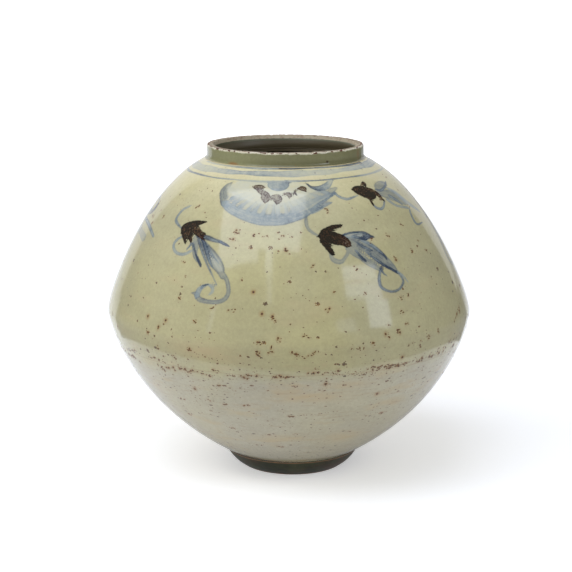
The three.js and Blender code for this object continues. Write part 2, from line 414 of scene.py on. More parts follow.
def throwing_tree():
    """Turns a profile into clay on the wheel: uneven, faintly ringed, ridged inside and worn."""
    inputs = {
        GEOMETRY: ("Profile",),
        WHOLE: ("Columns", "Closed"),
        FLOAT: (
            "Lean", "Upright Height", "Unevenness", "Turning Lines", "Ridge Depth", "Ridge Pitch", "Wear"
        ),
        MATERIAL: ("Material",),
    }
    bench, given, end = new_group(
        "Thrown piece", "GeometryNodeTree", inputs, {GEOMETRY: ("Geometry",)}
    )
    profile = given["Profile"]
    points = bench.made("GeometryNodeAttributeDomainSize", {0: profile}, component="MESH")
    rows = bench.total(points, given["Closed"])
    columns = bench.total(given["Columns"], 1)
    clay = bench.made("GeometryNodeMeshGrid", {0: 1.0, 1: 1.0, 2: columns, 3: rows})

    position = bench.made("GeometryNodeInputPosition")
    across, along, _ = bench.parts(position)
    row = bench.maths("ROUND", bench.product(bench.total(along, 0.5), bench.less(rows, 1)))
    index = bench.maths("MODULO", row, points)
    angle = bench.product(across, math.tau)

    def sampled(value, data_type="FLOAT"):
        """What the profile's point for this row carries."""
        sockets = {"Geometry": profile, "Value": value, "Index": index}
        return bench.made("GeometryNodeSampleIndex", sockets, data_type=data_type, domain="POINT")

    radius, _, height = bench.parts(sampled(position, "FLOAT_VECTOR"))
    inside, worn = (sampled(bench.named(name)) for name in ("inside", "worn"))
    sine, cosine = bench.maths("SINE", angle), bench.maths("COSINE", angle)

    def drum(width, rise):
        """A place on a drum round the jar, for noise that has no seam."""
        sides = (bench.product(side, width) for side in (sine, cosine))
        return bench.vector(*sides, bench.product(height, rise))

    stray = bench.product(bench.ripple(drum(1.0, 9.0), 0.9, 2.0), 2.0, given["Unevenness"])
    rings = bench.product(bench.ripple(drum(0.5, 240.0), 1.0, 3.0), 2.0, given["Turning Lines"])
    turns = bench.maths("DIVIDE", height, given["Ridge Pitch"])
    spiral = bench.total(bench.product(turns, math.tau), angle)
    finger = bench.product(bench.maths("SINE", spiral), inside, given["Ridge Depth"])
    nibbles = bench.between(bench.cloud(drum(26.0, 90.0), 1.0, 3.0, 0.6), 0.5, 0.72)
    wear = bench.product(nibbles, worn, given["Wear"])
    moved = bench.less(bench.total(stray, rings, finger), wear)
    turned = bench.total(radius, bench.product(moved, bench.between(radius, 0.0, STILL_RADIUS)))
    leaning = bench.product(given["Lean"], bench.less(height, given["Upright Height"]))
    place = bench.vector(
        bench.less(bench.product(turned, sine), leaning),
        bench.product(turned, cosine, -1.0),
        bench.less(height, wear),
    )
    clay = bench.made(
        "GeometryNodeStoreNamedAttribute",
        {"Geometry": clay, "Name": "inside", "Value": inside},
        data_type="FLOAT",
        domain="POINT",
    )
    clay = bench.made("GeometryNodeSetPosition", {"Geometry": clay, "Position": place})
    clay = bench.made("GeometryNodeMergeByDistance", {"Geometry": clay, "Distance": CLOSING_GAP})
    clay = bench.made("GeometryNodeSetShadeSmooth", {"Geometry": clay})
    return finish_geometry(bench, end, clay, given["Material"])


def pitting_tree():
    """Sets a small burst bubble at each point, facing out, as wide as the point says."""
    inputs = {GEOMETRY: ("Places",), COLLECTION: ("Shapes",), MATERIAL: ("Material",)}
    bench, given, end = new_group("Pits", "GeometryNodeTree", inputs, {GEOMETRY: ("Geometry",)})
    shapes = bench.made(
        "GeometryNodeCollectionInfo",
        {"Collection": given["Shapes"], "Separate Children": True, "Reset Children": True},
    )
    axes = {0: bench.named("facing", "FLOAT_VECTOR"), 1: bench.named("around", "FLOAT_VECTOR")}
    facing = bench.made("FunctionNodeAxesToRotation", axes, primary_axis="Z", secondary_axis="X")
    radius = bench.named("radius")
    pits = bench.made(
        "GeometryNodeInstanceOnPoints",
        {
            "Points": given["Places"],
            "Instance": shapes,
            "Pick Instance": True,
            "Instance Index": bench.named("shape", "INT"),
            "Rotation": facing,
            "Scale": bench.vector(bench.product(radius, bench.named("stretch")), radius, radius),
        },
    )
    return finish_geometry(bench, end, pits, given["Material"])


def placed(name, data):
    """An object in the scene."""
    made = bpy.data.objects.new(name, data)
    bpy.context.scene.collection.objects.link(made)
    return made


def worked(name, mesh, tree, values):
    """A mesh run through a geometry tree, with inputs set by name, as a plain mesh object."""
    start = placed(name + "_start", mesh)
    modifier = start.modifiers.new("Rule", "NODES")
    modifier.node_group = tree
    for item in tree.interface.items_tree:
        if item.item_type == "SOCKET" and item.in_out == "INPUT" and item.name in values:
            modifier[item.identifier] = values[item.name]
    start.update_tag()
    evaluated = start.evaluated_get(bpy.context.evaluated_depsgraph_get())
    finished = bpy.data.meshes.new_from_object(evaluated)
    bpy.data.objects.remove(start)
    finished.name = name
    return placed(name, finished)


# The thrown wall

def heading(angle):
    """A unit step at an angle above the outward horizontal."""
    return np.array((math.cos(angle), math.sin(angle)))


def cubic(start, start_heading, start_fullness, end, end_heading, end_fullness, steps=400):
    """Points of a cubic curve between two places that leaves and meets them on given headings."""
    chord = np.linalg.norm(end - start)
    second = start + start_heading * start_fullness * chord
    third = end - end_heading * end_fullness * chord
    t = np.linspace(0, 1, steps)[:, None]
    return (
        (1 - t) ** 3 * start
        + 3 * (1 - t) ** 2 * t * second
        + 3 * (1 - t) * t**2 * third
        + t**3 * end
    )


class Wall:
    """Radii of the wall outside and inside, and the way down from the shoulder, by height."""

    def __init__(self, form):
        base = np.array((BASE_RADIUS, UNDERSIDE))
        belly = np.array((BELLY_RADIUS, form.belly_height))
        shoulder = np.array((SEAT_RADIUS, SHOULDER))
        upright = heading(math.pi / 2)
        inward = heading(math.pi - form.shoulder_angle)
        lower = cubic(
            base, heading(form.base_angle), form.base_fullness, belly, upright, form.fullness_below
        )
        upper = cubic(
            belly, upright, form.fullness_above, shoulder, inward, form.shoulder_fullness
        )
        curve = np.vstack((lower, upper[1:]))
        self.outer, self.height = curve.T
        rise = np.gradient(self.height)
        run = np.hypot(np.gradient(self.outer), rise)
        distance = np.abs(self.height - JOINT) / form.rim_swell_reach
        swell = form.rim_swell * np.cos(np.minimum(distance, 1) * math.pi / 2) ** 2
        self.inner = self.outer - form.wall * run / rise - swell
        steps = np.hypot(np.diff(self.outer), np.diff(self.height))
        travelled = np.concatenate(((0,), np.cumsum(steps)))
        self.way = travelled[-1] - travelled

    def at(self, what, height):
        """One of the wall's measures at a height."""
        return np.interp(height, self.height, getattr(self, what))

    def height_at(self, way):
        """The height of the place so far down the wall from the shoulder."""
        return np.interp(-way, -self.way, self.height)

    def face(self, what, low, high, spacing):
        """One face of the wall between two heights, going up, with the points at its ends."""
        first, last = self.at("way", low), self.at("way", high)
        steps = max(2, round((first - last) / spacing) + 1)
        heights = self.height_at(np.linspace(first, last, steps))
        heights[0], heights[-1] = low, high
        return np.column_stack((self.at(what, heights), heights))

    def throat(self, radius):
        """The height at which the inside closes in to a radius, above the belly."""
        above = self.outer.argmax()
        return np.interp(-radius, -self.inner[above:], self.height[above:])


def rounded(start, corner, end, steps=6):
    """A rounded corner between two lines."""
    t = np.linspace(0, 1, steps)[:, None]
    start, corner, end = (np.array(place, float) for place in (start, corner, end))
    return (1 - t) ** 2 * start + 2 * (1 - t) * t * corner + t**2 * end


def line(start, end, spacing):
    """A straight stretch with evenly spaced points."""
    start, end = np.array(start, float), np.array(end, float)
    steps = max(2, round(np.linalg.norm(end - start) / spacing) + 1)
    return start + (end - start) * np.linspace(0, 1, steps)[:, None]


def seat(inner, outer, height, width, depth, ridges):
    """A joint's face from its inner to its outer side, with downward ridges in its middle."""
    middle = (inner + outer) / 2
    start = middle - ridges * width / 2
    points = [(inner, height), (start, height)]
    for ridge in range(1, ridges + 1):
        edge = start + ridge * width
        points += [(edge - width / 2, height - depth), (edge, height)]
    points.append((outer, height))
    return np.array(points)


class Profile:
    """A piece's outline, anticlockwise, with what is inside the jar and what is worn."""

    def __init__(self):
        self.points = []
        self.inside = []

    def go(self, points, inside=0.0):
        """Adds a stretch, leaving out a point that repeats the last one."""
        apart = 0.02 * MM
        points = np.asarray(points)
        for (radius, height), value in zip(points, np.broadcast_to(inside, len(points))):
            if self.points and math.dist(self.points[-1], (radius, height)) < apart:
                continue
            self.points.append((radius, height))
            self.inside.append(value)
        return self

    def go_across(self, points):
        """Adds a joint's face, which is inside the jar at its inner end and outside at its outer."""
        radii = np.asarray(points)[:, 0]
        return self.go(points, (radii.max() - radii) / np.ptp(radii))

    def mesh(self, name, worn_from=None):
        """The outline as a mesh of points, in the XZ plane."""
        mesh = bpy.data.meshes.new(name)
        mesh.from_pydata([(radius, 0, height) for radius, height in self.points], [], [])
        heights = np.array(self.points)[:, 1]
        worn = np.zeros(len(heights))
        if worn_from is not None:
            worn = np.clip((heights - worn_from) / (LIP - worn_from), 0, 1)
        give(mesh, "inside", np.array(self.inside))
        give(mesh, "worn", worn)
        return mesh


def give(mesh, name, values):
    """Stores a number or a vector on each point of a mesh."""
    values = np.asarray(values, np.float32)
    kind, field = ("FLOAT_VECTOR", "vector") if values.ndim == 2 else ("FLOAT", "value")
    layer = mesh.attributes.get(name) or mesh.attributes.new(name, kind, "POINT")
    layer.data.foreach_set(field, values.ravel())


# Faces that meet more sharply than this keep a crisp edge
CRISP = math.radians(38)


def thrown(name, profile, material, closed=True, worn_from=None):
    """Throws a piece on the wheel from its profile, in the material of that name."""
    form = bpy.context.scene.jar_form
    tree = bpy.data.node_groups.get("Thrown piece") or throwing_tree()
    values = {
        "Columns": form.columns,
        "Closed": int(closed),
        "Lean": form.lean,
        "Upright Height": form.belly_height,
        "Unevenness": form.unevenness,
        "Turning Lines": form.turning_lines,
        "Ridge Depth": form.ridge_depth,
        "Ridge Pitch": form.ridge_pitch,
        "Wear": form.chip_depth,
        "Material": material_named(material),
    }
    piece = worked(name, profile.mesh(name + "_profile", worn_from), tree, values)
    piece.data.set_sharp_from_angle(angle=CRISP)
    give(piece.data, "down", Places(piece.data, Wall(form), form).down)
    return piece


def dress(piece, slot, *nodes):
    """Fixes a finished piece to the jar, in place of solid pieces."""
    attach(piece, "root")
    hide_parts(*nodes)


# Places on the wall, for brushwork and pits

class Places:
    """Where the points of a piece are: angle round the jar, height and way down the wall."""

    def __init__(self, mesh, wall, form):
        corners = np.empty(len(mesh.vertices) * 3)
        mesh.vertices.foreach_get("co", corners)
        x, y, self.height = corners.reshape(-1, 3).T
        x = x + form.lean * (self.height - form.belly_height)
        self.angle = np.degrees(np.arctan2(x, -y))
        self.radius = np.hypot(x, y)
        self.down = wall.at("way", self.height) / MM


def unrolled(places, wall, anchor_angle, anchor_down):
    """Flat millimetres right of and above an anchor, on the cone that touches the jar there."""
    height = wall.height_at(anchor_down * MM)
    radius = wall.at("outer", height) / MM
    step = 0.5
    above = wall.at("outer", wall.height_at((anchor_down - step) * MM)) / MM
    below = wall.at("outer", wall.height_at((anchor_down + step) * MM)) / MM
    slope = (below - above) / (2 * step)
    apex = radius / slope
    turned = np.radians((places.angle - anchor_angle + 180) % 360 - 180) * slope
    reach_down = apex + places.down - anchor_down
    return reach_down * np.sin(turned), apex - reach_down * np.cos(turned)


LAYERS = ("wash", "stroke", "white", "vein", "iron")
# What a point carries in mm where no stroke is near it
FAR = 30.0
# How far past its edge a stroke is stored, so that its edge can be drawn softly, in mm
MARGIN = 9
# How far apart in mm the hairs of two strokes of a motif are taken from their pattern
STROKE_APART = 37.0


class Brushwork:
    """What each point of a painted piece carries for each layer of ink.

    A stroke is stored as its signed distance across, its half width and the way along it, which
    keep thin lines sharp between the points, and as its edge, which shows where no stroke is.
    """

    def __init__(self, mesh, places, wall, outside):
        self.mesh = mesh
        self.places = places
        self.wall = wall
        self.outside = outside
        amount = len(places.angle)
        self.field = {layer: np.tile((FAR, 0.0, 0.0), (amount, 1)) for layer in LAYERS}
        self.load = {layer: np.tile((-FAR, 0.0, 0.0), (amount, 1)) for layer in LAYERS}

    def lay(self, layer, chosen, across, half, along, ink):
        """Lays one stroke over some of the points, where it reaches further than what is there."""
        edge = half - np.abs(across)
        wins = edge > self.load[layer][chosen, 0]
        spots = chosen[wins]
        self.field[layer][spots] = np.column_stack((across, half, along))[wins]
        self.load[layer][spots] = np.column_stack((edge, ink, np.zeros(len(ink))))[wins]

    def stroke(self, right, up, layer, first_ink, last_ink, points, seed):
        """One stroke of the brush through points of (right, up, half width)."""
        track = smooth_track(np.array(points, float))
        reach_out = track[:, 2].max() + MARGIN
        low = track[:, :2].min(0) - reach_out
        high = track[:, :2].max(0) + reach_out
        near = self.outside & (right > low[0]) & (right < high[0]) & (up > low[1]) & (up < high[1])
        chosen = np.flatnonzero(near)
        if not len(chosen):
            return
        spot = np.column_stack((right[chosen], up[chosen]))
        start, step = track[:-1, :2], np.diff(track[:, :2], axis=0)
        length = np.linalg.norm(step, axis=1)
        offset = spot[:, None] - start[None]
        share_along = np.clip((offset * step).sum(2) / length**2, 0, 1)
        apart = offset - share_along[..., None] * step
        distance = np.linalg.norm(apart, axis=2)
        side = np.sign(step[:, 0] * offset[..., 1] - step[:, 1] * offset[..., 0])
        half = track[:-1, 2] + share_along * np.diff(track[:, 2])
        winner = (half - distance).argmax(1)
        row = np.arange(len(chosen))
        travelled = np.concatenate(((0,), np.cumsum(length)))
        along = travelled[winner] + share_along[row, winner] * length[winner]
        ink = first_ink + (last_ink - first_ink) * along / travelled[-1]
        across = (side * distance)[row, winner]
        self.lay(layer, chosen, across, half[row, winner], along + STROKE_APART * seed, ink)

    def motif(self, strokes, angle, down, scale=1.0, turned=0.0, mirrored=False):
        """Paints a motif round an anchor, at its own size and turn."""
        right, up = unrolled(self.places, self.wall, angle, down)
        if mirrored:
            right = -right
        cosine, sine = math.cos(math.radians(turned)), math.sin(math.radians(turned))
        right, up = (right * cosine + up * sine) / scale, (up * cosine - right * sine) / scale
        for seed, (layer, first_ink, last_ink, points) in enumerate(strokes):
            self.stroke(right, up, layer, first_ink, last_ink, points, seed)

    def band(self, layer, depth, width, ink, wander, tilt, seed, first=-180, last=180):
        """A band round the jar, so far down from the shoulder, that wanders as the hand does."""
        turned = self.places.angle
        chosen = np.flatnonzero(self.outside & (turned >= first) & (turned <= last))
        angle = np.radians(turned[chosen])
        middle = depth - tilt * np.sin(angle) + wander * np.sin(3 * angle + seed)
        middle = middle + 0.4 * wander * np.sin(11 * angle + 2 * seed)
        half = width / 2 * (1 + 0.22 * np.sin(5 * angle + seed) + 0.12 * np.sin(17 * angle))
        load = ink * (1 + 0.25 * np.sin(4 * angle + 3 * seed))
        along = angle * self.places.radius[chosen] / MM
        self.lay(layer, chosen, self.places.down[chosen] - middle, half, along, load)

    def store(self):
        """Writes every layer to the mesh."""
        for layer in LAYERS:
            give(self.mesh, layer, self.field[layer])
            give(self.mesh, layer + "_load", self.load[layer])


def smooth_track(points, steps=7):
    """A smooth line through the points of a stroke, with its width eased between them."""
    ends = np.vstack((2 * points[0] - points[1], points, 2 * points[-1] - points[-2]))
    t = np.linspace(0, 1, steps, endpoint=False)[:, None]
    pieces = []
    for before, first, second, after in zip(ends, ends[1:], ends[2:], ends[3:]):
        square = 2 * before - 5 * first + 4 * second - after
        cube = 3 * first - before - 3 * second + after
        pieces.append(0.5 * (2 * first + (second - before) * t + square * t**2 + cube * t**3))
    track = np.vstack((*pieces, points[-1:]))
    track[:, 2] = np.maximum(track[:, 2], 0.3)
    return track


# Motifs: (layer, ink at the start, ink at the end, points of (right, up, half width) in mm)

HANGING_SPRAY = (
    ("stroke", 0.45, 0.6, ((-16, 24, 1), (-23, 20, 1.5), (-26, 15, 1.5), (-27, 9, 1.5), (-23, 5, 1.5),
        (-12, -1, 0.5))),
    ("stroke", 0.5, 0.42, ((-9, -8, 1), (-14, -12, 1.5), (-16, -17, 1.5), (-13, -22, 1.5), (-7, -25, 1.5),
        (1, -25, 1.5), (8, -21, 1.5))),
    ("stroke", 0.95, 0.55, ((11, -6, 2), (20, -5, 2.5), (29, -6, 2), (36, -6, 1.5))),
    ("vein", 0.6, 1, ((34, -6, 1), (40, -7, 1.5), (45, -8, 1))),
    ("wash", 0.45, 0.5, ((8, -7, 2.5), (11, -15, 3.5), (14, -23, 2.5), (19, -28, 2))),
    ("vein", 0.6, 1, ((7, -13, 1), (15, -23, 1), (21, -29, 1.5), (24, -32, 1.5))),
    ("stroke", 0.75, 0.5, ((12, -8, 1.5), (20, -18, 1.5), (29, -28, 1), (36, -35, 1), (41, -40, 0.5),
        (47, -46, 0.5))),
    ("wash", 0.6, 0.5, ((18, -10, 2.5), (28, -18, 4.8), (37, -25, 6), (45, -31, 4.5), (50, -38, 1.8))),
    ("white", 0.32, 0.36, ((26, -17, 2), (36, -24, 3.4), (45, -31, 2.4))),
    ("vein", 0.55, 0.4, ((24, -12, 0.6), (33, -20, 0.8), (42, -26, 0.5))),
    ("vein", 0.9, 0.55, ((16, -7, 1.5), (24, -16, 2), (31, -25, 1.5), (38, -32, 0.5))),
    ("vein", 0.8, 0.5, ((19, -9, 1), (25, -14, 1), (31, -18, 0.5))),
    ("wash", 0.5, 0.5, ((48, -34, 2.5), (55, -39, 2), (59, -45, 2), (61, -51, 2), (59, -57, 2),
        (53, -61, 2), (44, -63, 2), (34, -63, 2.5), (29, -59, 2), (24, -59, 0.5))),
    ("stroke", 0.5, 0.36, ((30, -60, 3), (31, -54, 2.5), (35, -50, 1.5), (38, -48, 1), (43, -49, 1.5),
        (45, -53, 1.5), (43, -56, 1))),
    ("vein", 0.5, 0.9, ((32, -53, 1), (34, -50, 1), (38, -48, 0.5))),
    ("vein", 0.7, 0.5, ((4, -11, 1), (5, -15, 1), (3, -19, 1))),
    ("iron", 1.0, 1.0, ((-11, -3, 2), (-10, 1, 4.5), (-4, 3, 5.5), (1, 6, 4), (6, 8, 2.5), (12, 10, 1))),
    ("iron", 0.95, 0.85, ((-11, -2, 2.5), (-7, -7, 2.5), (-2, -14, 1))),
    ("iron", 0.95, 0.7, ((-4, 0, 4), (0, -6, 3), (4, -11, 1.5))),
    ("iron", 0.95, 0.6, ((0, 2, 4), (7, -2, 3), (13, -5, 2), (19, -8, 0.5))),
    ("iron", 0.5, 0.75, ((7, 2, 1.5), (13, -1, 1), (16, -2, 1.5))),
)

TRAILING_SPRAY = (
    ("wash", 0.55, 0.4, ((-18, 24, 1), (-20, 17, 1.5), (-20, 10, 1.5), (-17, 5, 1.5), (-11, 0, 1))),
    ("stroke", 0.45, 0.45, ((14, -1, 2.5), (23, 0, 3), (31, 0, 3.5), (37, -1, 2))),
    ("vein", 0.75, 0.8, ((12, 0, 1), (19, 2, 1), (27, 3, 1), (34, 3, 1), (39, 1, 1))),
    ("vein", 0.9, 1, ((33, -1, 1), (37, -1, 2.5), (43, -1, 1))),
    ("vein", 0.5, 1, ((21, -1, 1), (28, -3, 1.5), (34, -4, 1.5))),
    ("wash", 0.42, 0.5, ((14, -5, 4), (18, -12, 6), (22, -18, 4.5), (27, -23, 2))),
    ("vein", 0.5, 1, ((22, -16, 1), (26, -22, 1.5), (29, -25, 1.5))),
    ("wash", 0.55, 0.55, ((20, -5, 3), (29, -9, 5), (39, -16, 6), (48, -23, 6), (57, -29, 4),
        (63, -34, 1.5))),
    ("vein", 0.7, 0.7, ((25, -8, 1), (31, -12, 1.5), (38, -15, 1))),
    ("vein", 0.5, 1, ((32, -17, 0.5), (40, -23, 1.5), (49, -29, 1.5), (56, -32, 1.5), (63, -35, 1.5))),
    ("stroke", 0.4, 0.9, ((30, -5, 1.5), (38, -9, 2), (45, -14, 2), (51, -19, 1.5), (53, -22, 1))),
    ("wash", 0.5, 0.45, ((23, -18, 3.5), (30, -25, 3.5), (38, -30, 3), (44, -34, 1.5))),
    ("wash", 0.4, 0.45, ((-3, -16, 1.5), (-3, -22, 2), (0, -25, 2.5), (5, -26, 2), (9, -23, 1.5),
        (13, -18, 1.5), (15, -12, 1.5))),
    ("stroke", 0.6, 0.62, ((45, -32, 1.2), (42, -39, 1.5), (41, -45, 1.8), (42, -50, 1.6), (47, -53, 1.3),
        (54, -54, 1.2), (61, -52, 1.1), (66, -48, 1.1), (69, -43, 1.2), (67, -38, 1.2),
        (62, -34, 0.8))),
    ("vein", 0.7, 0.5, ((45, -33, 1.5), (47, -37, 1), (50, -39, 0.5))),
    ("vein", 0.5, 0.35, ((63, -34, 1), (69, -37, 1), (75, -43, 0.5))),
    ("iron", 1.0, 1.0, ((-12, 0, 1), (-5, 0, 5.5), (1, -2, 6.5), (6, -4, 6))),
    ("iron", 1.0, 1.0, ((-6, 4, 3), (3, 8, 2.5), (9, 9, 2), (12, 10, 1.5))),
    ("iron", 1.0, 1.0, ((-8, -5, 3.5), (-5, -11, 3), (-2, -17, 2.5))),
    ("iron", 0.9, 0.6, ((4, -3, 6), (10, -5, 5.5), (14, -8, 4.5))),
    ("iron", 0.6, 0.8, ((11, -1, 1.5), (11, -6, 2), (13, -11, 1.5))),
)

UPPER_SPRAY = (
    ("vein", 0.5, 0.45, ((-32, 5, 1), (-31, 0, 1.5), (-25, -5, 1.5), (-17, -5, 1), (-11, -4, 0.5))),
    ("wash", 0.42, 0.5, ((21, 3, 3.5), (29, 6, 4.5), (37, 8, 3.5))),
    ("vein", 0.6, 0.6, ((42, 11, 1), (35, 5, 1), (24, -1, 1.5), (17, 0, 1))),
    ("wash", 0.5, 0.4, ((18, -4, 3.5), (29, -6, 6), (42, -8, 7.5), (51, -12, 5))),
    ("stroke", 0.4, 0.45, ((38, 1, 2), (47, -3, 3), (52, -8, 3.5), (61, -14, 3), (78, -19, 1.5))),
    ("vein", 0.6, 0.5, ((32, -8, 2), (39, -12, 2), (44, -16, 1.5))),
    ("stroke", 0.4, 0.45, ((25, -13, 2), (34, -19, 1.5), (53, -20, 1.5))),
    ("vein", 0.5, 0.6, ((1, -16, 1), (3, -20, 1.5), (8, -22, 1.5), (14, -19, 1), (19, -13, 1))),
    ("vein", 0.5, 0.6, ((55, -21, 1), (52, -27, 1.6), (52, -36, 1.8), (57, -38, 1.1), (69, -34, 0.6))),
    ("iron", 0.8, 1.0, ((-10, 3, 2.5), (-5, 1, 6), (1, -2, 7.5), (5, -5, 6), (9, -7, 2.5))),
    ("iron", 0.7, 0.5, ((4, 1, 3.5), (11, -2, 3.5), (15, -6, 3), (18, -13, 1))),
    ("iron", 0.8, 0.7, ((1, -7, 3), (1, -11, 1.5), (1, -16, 1.5))),
    ("iron", 0.4, 0.9, ((2, 7, 1), (7, 9, 2), (7, 7, 2))),
)


def flower_point(angle, part, half):
    """A point so far out along one of the flower's rays, in mm, with a stroke's half width there."""
    across, tall, drop = 48, 41, 2
    return part * across * math.cos(angle), part * tall * math.sin(angle) - drop, half


FLOWER_SEED = 11


def flower_rays():
    """White rays over the flower's blue rim, and blue teeth between them."""
    rng = np.random.default_rng(FLOWER_SEED)
    strokes = []
    for angle in np.radians(np.arange(-168, -11, 11)):
        ray, tooth = angle + rng.normal(0, 0.03, 2)
        end, width = rng.uniform(0.84, 1.04), rng.uniform(2.6, 4.2)
        track = [flower_point(ray, part, width * (1.5 - 1.3 * part)) for part in (0.42, 0.7 * end, end)]
        strokes.append(("white", rng.uniform(0.6, 0.85), 0.04, track))
        parts = (0.96, 0.8, rng.uniform(0.5, 0.66))
        track = [flower_point(tooth + 0.09, part, 5 * part - 2.3) for part in parts]
        strokes.append(("stroke", 0.5, 0.16, track))
    return strokes


FLOWER = (
    ("wash", 0.5, 0.6, ((-45, 5, 1), (-49, 1, 3.5), (-51, -5, 5.5), (-50, -12, 6), (-52, -18, 3),
        (-49, -23, 1.5))),
    ("stroke", 0.46, 0.6, ((-51, -19, 3.5), (-45, -26, 4.5), (-36, -33, 5), (-27, -38, 5.5), (-16, -42, 6),
        (-5, -43, 6), (6, -42, 6), (16, -39, 5), (25, -34, 5), (31, -28, 4))),
    ("wash", 0.2, 0.3, ((-46, -7, 6), (-41, -18, 7), (-30, -27, 7), (-16, -32, 7), (-2, -33, 7),
        (12, -30, 7), (24, -23, 6), (33, -15, 5))),
    ("stroke", 0.42, 0.46, ((18, -33, 5), (27, -27, 6), (36, -20, 4.5), (44, -13, 3), (53, -5, 1.5))),
    ("wash", 0.36, 0.4, ((20, -23, 4), (29, -18, 5), (38, -11, 5), (47, -5, 4), (54, 2, 1.5))),
    ("stroke", 0.42, 0.46, ((26, -34, 2.5), (35, -29, 3), (43, -22, 2.5), (50, -17, 1))),
    ("vein", 0.45, 0.55, ((31, -30, 0.8), (38, -22, 1.2), (45, -15, 1), (53, -5, 1))),
    ("vein", 0.45, 0.55, ((32, -33, 0.8), (37, -28, 1.2), (43, -23, 0.8))),
    ("vein", 0.9, 0.35, ((27, 0, 1), (31, -3, 1.5), (38, -3, 3), (45, 2, 3.5), (49, 10, 2))),
    ("white", 0.5, 0.44, ((-43, -3, 6), (-31, -9, 9), (-20, -15, 9), (-7, -18, 9), (4, -17, 8.5),
        (14, -13, 6.5), (21, -9, 4))),
    ("white", 0.5, 0.3, ((-37, 2, 4), (-15, -2, 4), (11, -2, 4), (26, -5, 4))),
    ("white", 0.36, 0.08, ((18, -17, 3.5), (27, -20, 2.5), (35, -20, 1))),
    ("white", 0.34, 0.08, ((22, -11, 3), (33, -11, 2), (43, -8, 1))),
    ("white", 0.3, 0.3, ((20, -4, 2.5), (28, -7, 2), (36, -8, 1))),
    *flower_rays(),
    ("vein", 0.4, 0.6, ((-8, 0, 1.5), (-5, -4, 4.5), (0, -5, 6), (5, -4, 5), (8, 1, 2))),
    ("vein", 0.6, 0.75, ((4, -6, 1), (7, -3, 1.5), (8, 1, 1))),
    ("iron", 0.56, 0.46, ((-21, -5, 2.5), (-18, -6, 3.5), (-15, -6, 2.5))),
    ("iron", 0.46, 0.42, ((-18, -9, 2), (-17, -12, 1))),
    ("iron", 0.45, 0.39, ((-13, -13, 3), (-11, -18, 4.5), (-11, -22, 2.5))),
    ("iron", 0.39, 0.43, ((-4, -18, 2.5), (0, -20, 4.5), (0, -25, 1.5))),
    ("iron", 0.43, 0.37, ((7, -14, 1.5), (11, -15, 2.5), (11, -18, 1))),
    ("iron", 0.55, 0.6, ((16, -10, 1), (16, -11, 1))),
    ("iron", 0.55, 0.6, ((16, -13, 1), (17, -14, 1))),
    ("iron", 0.47, 0.5, ((19, -7, 1), (23, -6, 3), (25, -8, 1.5))),
)

LYING_SPRAY = (
    ("wash", 0.5, 0.9, ((-4, 5, 2), (1, -2, 4), (-3, -8, 2.5))),
    ("vein", 0.6, 0.5, ((-17, -16, 1.5), (15, -18, 2), (42, -23, 1.5))),
    ("wash", 0.35, 0.35, ((4, -29, 3), (24, -31, 4))),
    ("stroke", 0.6, 0.45, ((-50, -5, 2), (-38, 3, 3), (-24, 8, 2.5), (-12, 9, 1.5), (-4, 5, 1))),
    ("wash", 0.55, 0.5, ((-52, -9, 3), (-40, -8, 5), (-26, -7, 5.5), (-13, -8, 4), (-4, -8, 1.5))),
    ("vein", 0.9, 0.6, ((-54, -11, 1.5), (-44, -13, 1.5), (-32, -15, 1.5), (-17, -16, 1.5))),
    ("vein", 0.8, 0.4, ((-50, -8, 1), (-38, -6, 1), (-25, -5, 0.5))),
    ("wash", 0.55, 0.35, ((-54, -15, 2.5), (-42, -22, 4.5), (-26, -26, 5), (-10, -28, 4), (4, -29, 3))),
    ("vein", 0.7, 0.5, ((-50, -17, 1), (-38, -24, 1.5), (-24, -30, 1))),
    ("stroke", 0.5, 0.4, ((-62, -20, 1), (-62, -30, 1.5), (-56, -38, 1.8), (-46, -41, 1.6), (-38, -36, 1.2),
        (-38, -29, 0.8))),
    ("stroke", 0.45, 0.5, ((-72, -4, 1), (-80, 2, 1.5), (-84, 10, 1.5), (-80, 18, 1))),
    ("iron", 0.9, 1.0, ((-76, -5, 2), (-70, -6, 5), (-63, -9, 6.5), (-57, -12, 5), (-50, -14, 1.5))),
    ("iron", 0.9, 0.8, ((-66, -5, 3.5), (-60, -1, 3), (-53, 1, 1))),
    ("iron", 0.9, 0.7, ((-66, -11, 4), (-62, -18, 2.5), (-58, -24, 1))),
)

# A dark line along the collar's foot: angles between which it runs, and its ink
COLLAR_LINES = ((-4, 66, 0.78), (-72, -4, 0.4), (112, 165, 0.8), (-150, -104, 0.7))

# Where each motif is painted: angle, way down from the shoulder in mm, size, turn, mirrored
PAINTING = (
    (FLOWER, -4, 21, 1.0, 0, False),
    (HANGING_SPRAY, -40, 80, 1.0, 0, False),
    (TRAILING_SPRAY, 17, 81, 1.0, 0, False),
    (UPPER_SPRAY, 42, 37, 1.0, 0, False),
    (LYING_SPRAY, -78, 68, 1.0, 0, False),
    (HANGING_SPRAY, 100, 76, 0.95, 6, True),
    (FLOWER, 122, 22, 0.96, 2, True),
    (TRAILING_SPRAY, 150, 84, 1.02, -5, False),
    (UPPER_SPRAY, 172, 40, 0.98, 3, False),
    (FLOWER, -126, 21, 1.0, -2, False),
    (TRAILING_SPRAY, -118, 86, 0.97, 4, False),
    (HANGING_SPRAY, -158, 78, 1.03, -4, False),
)


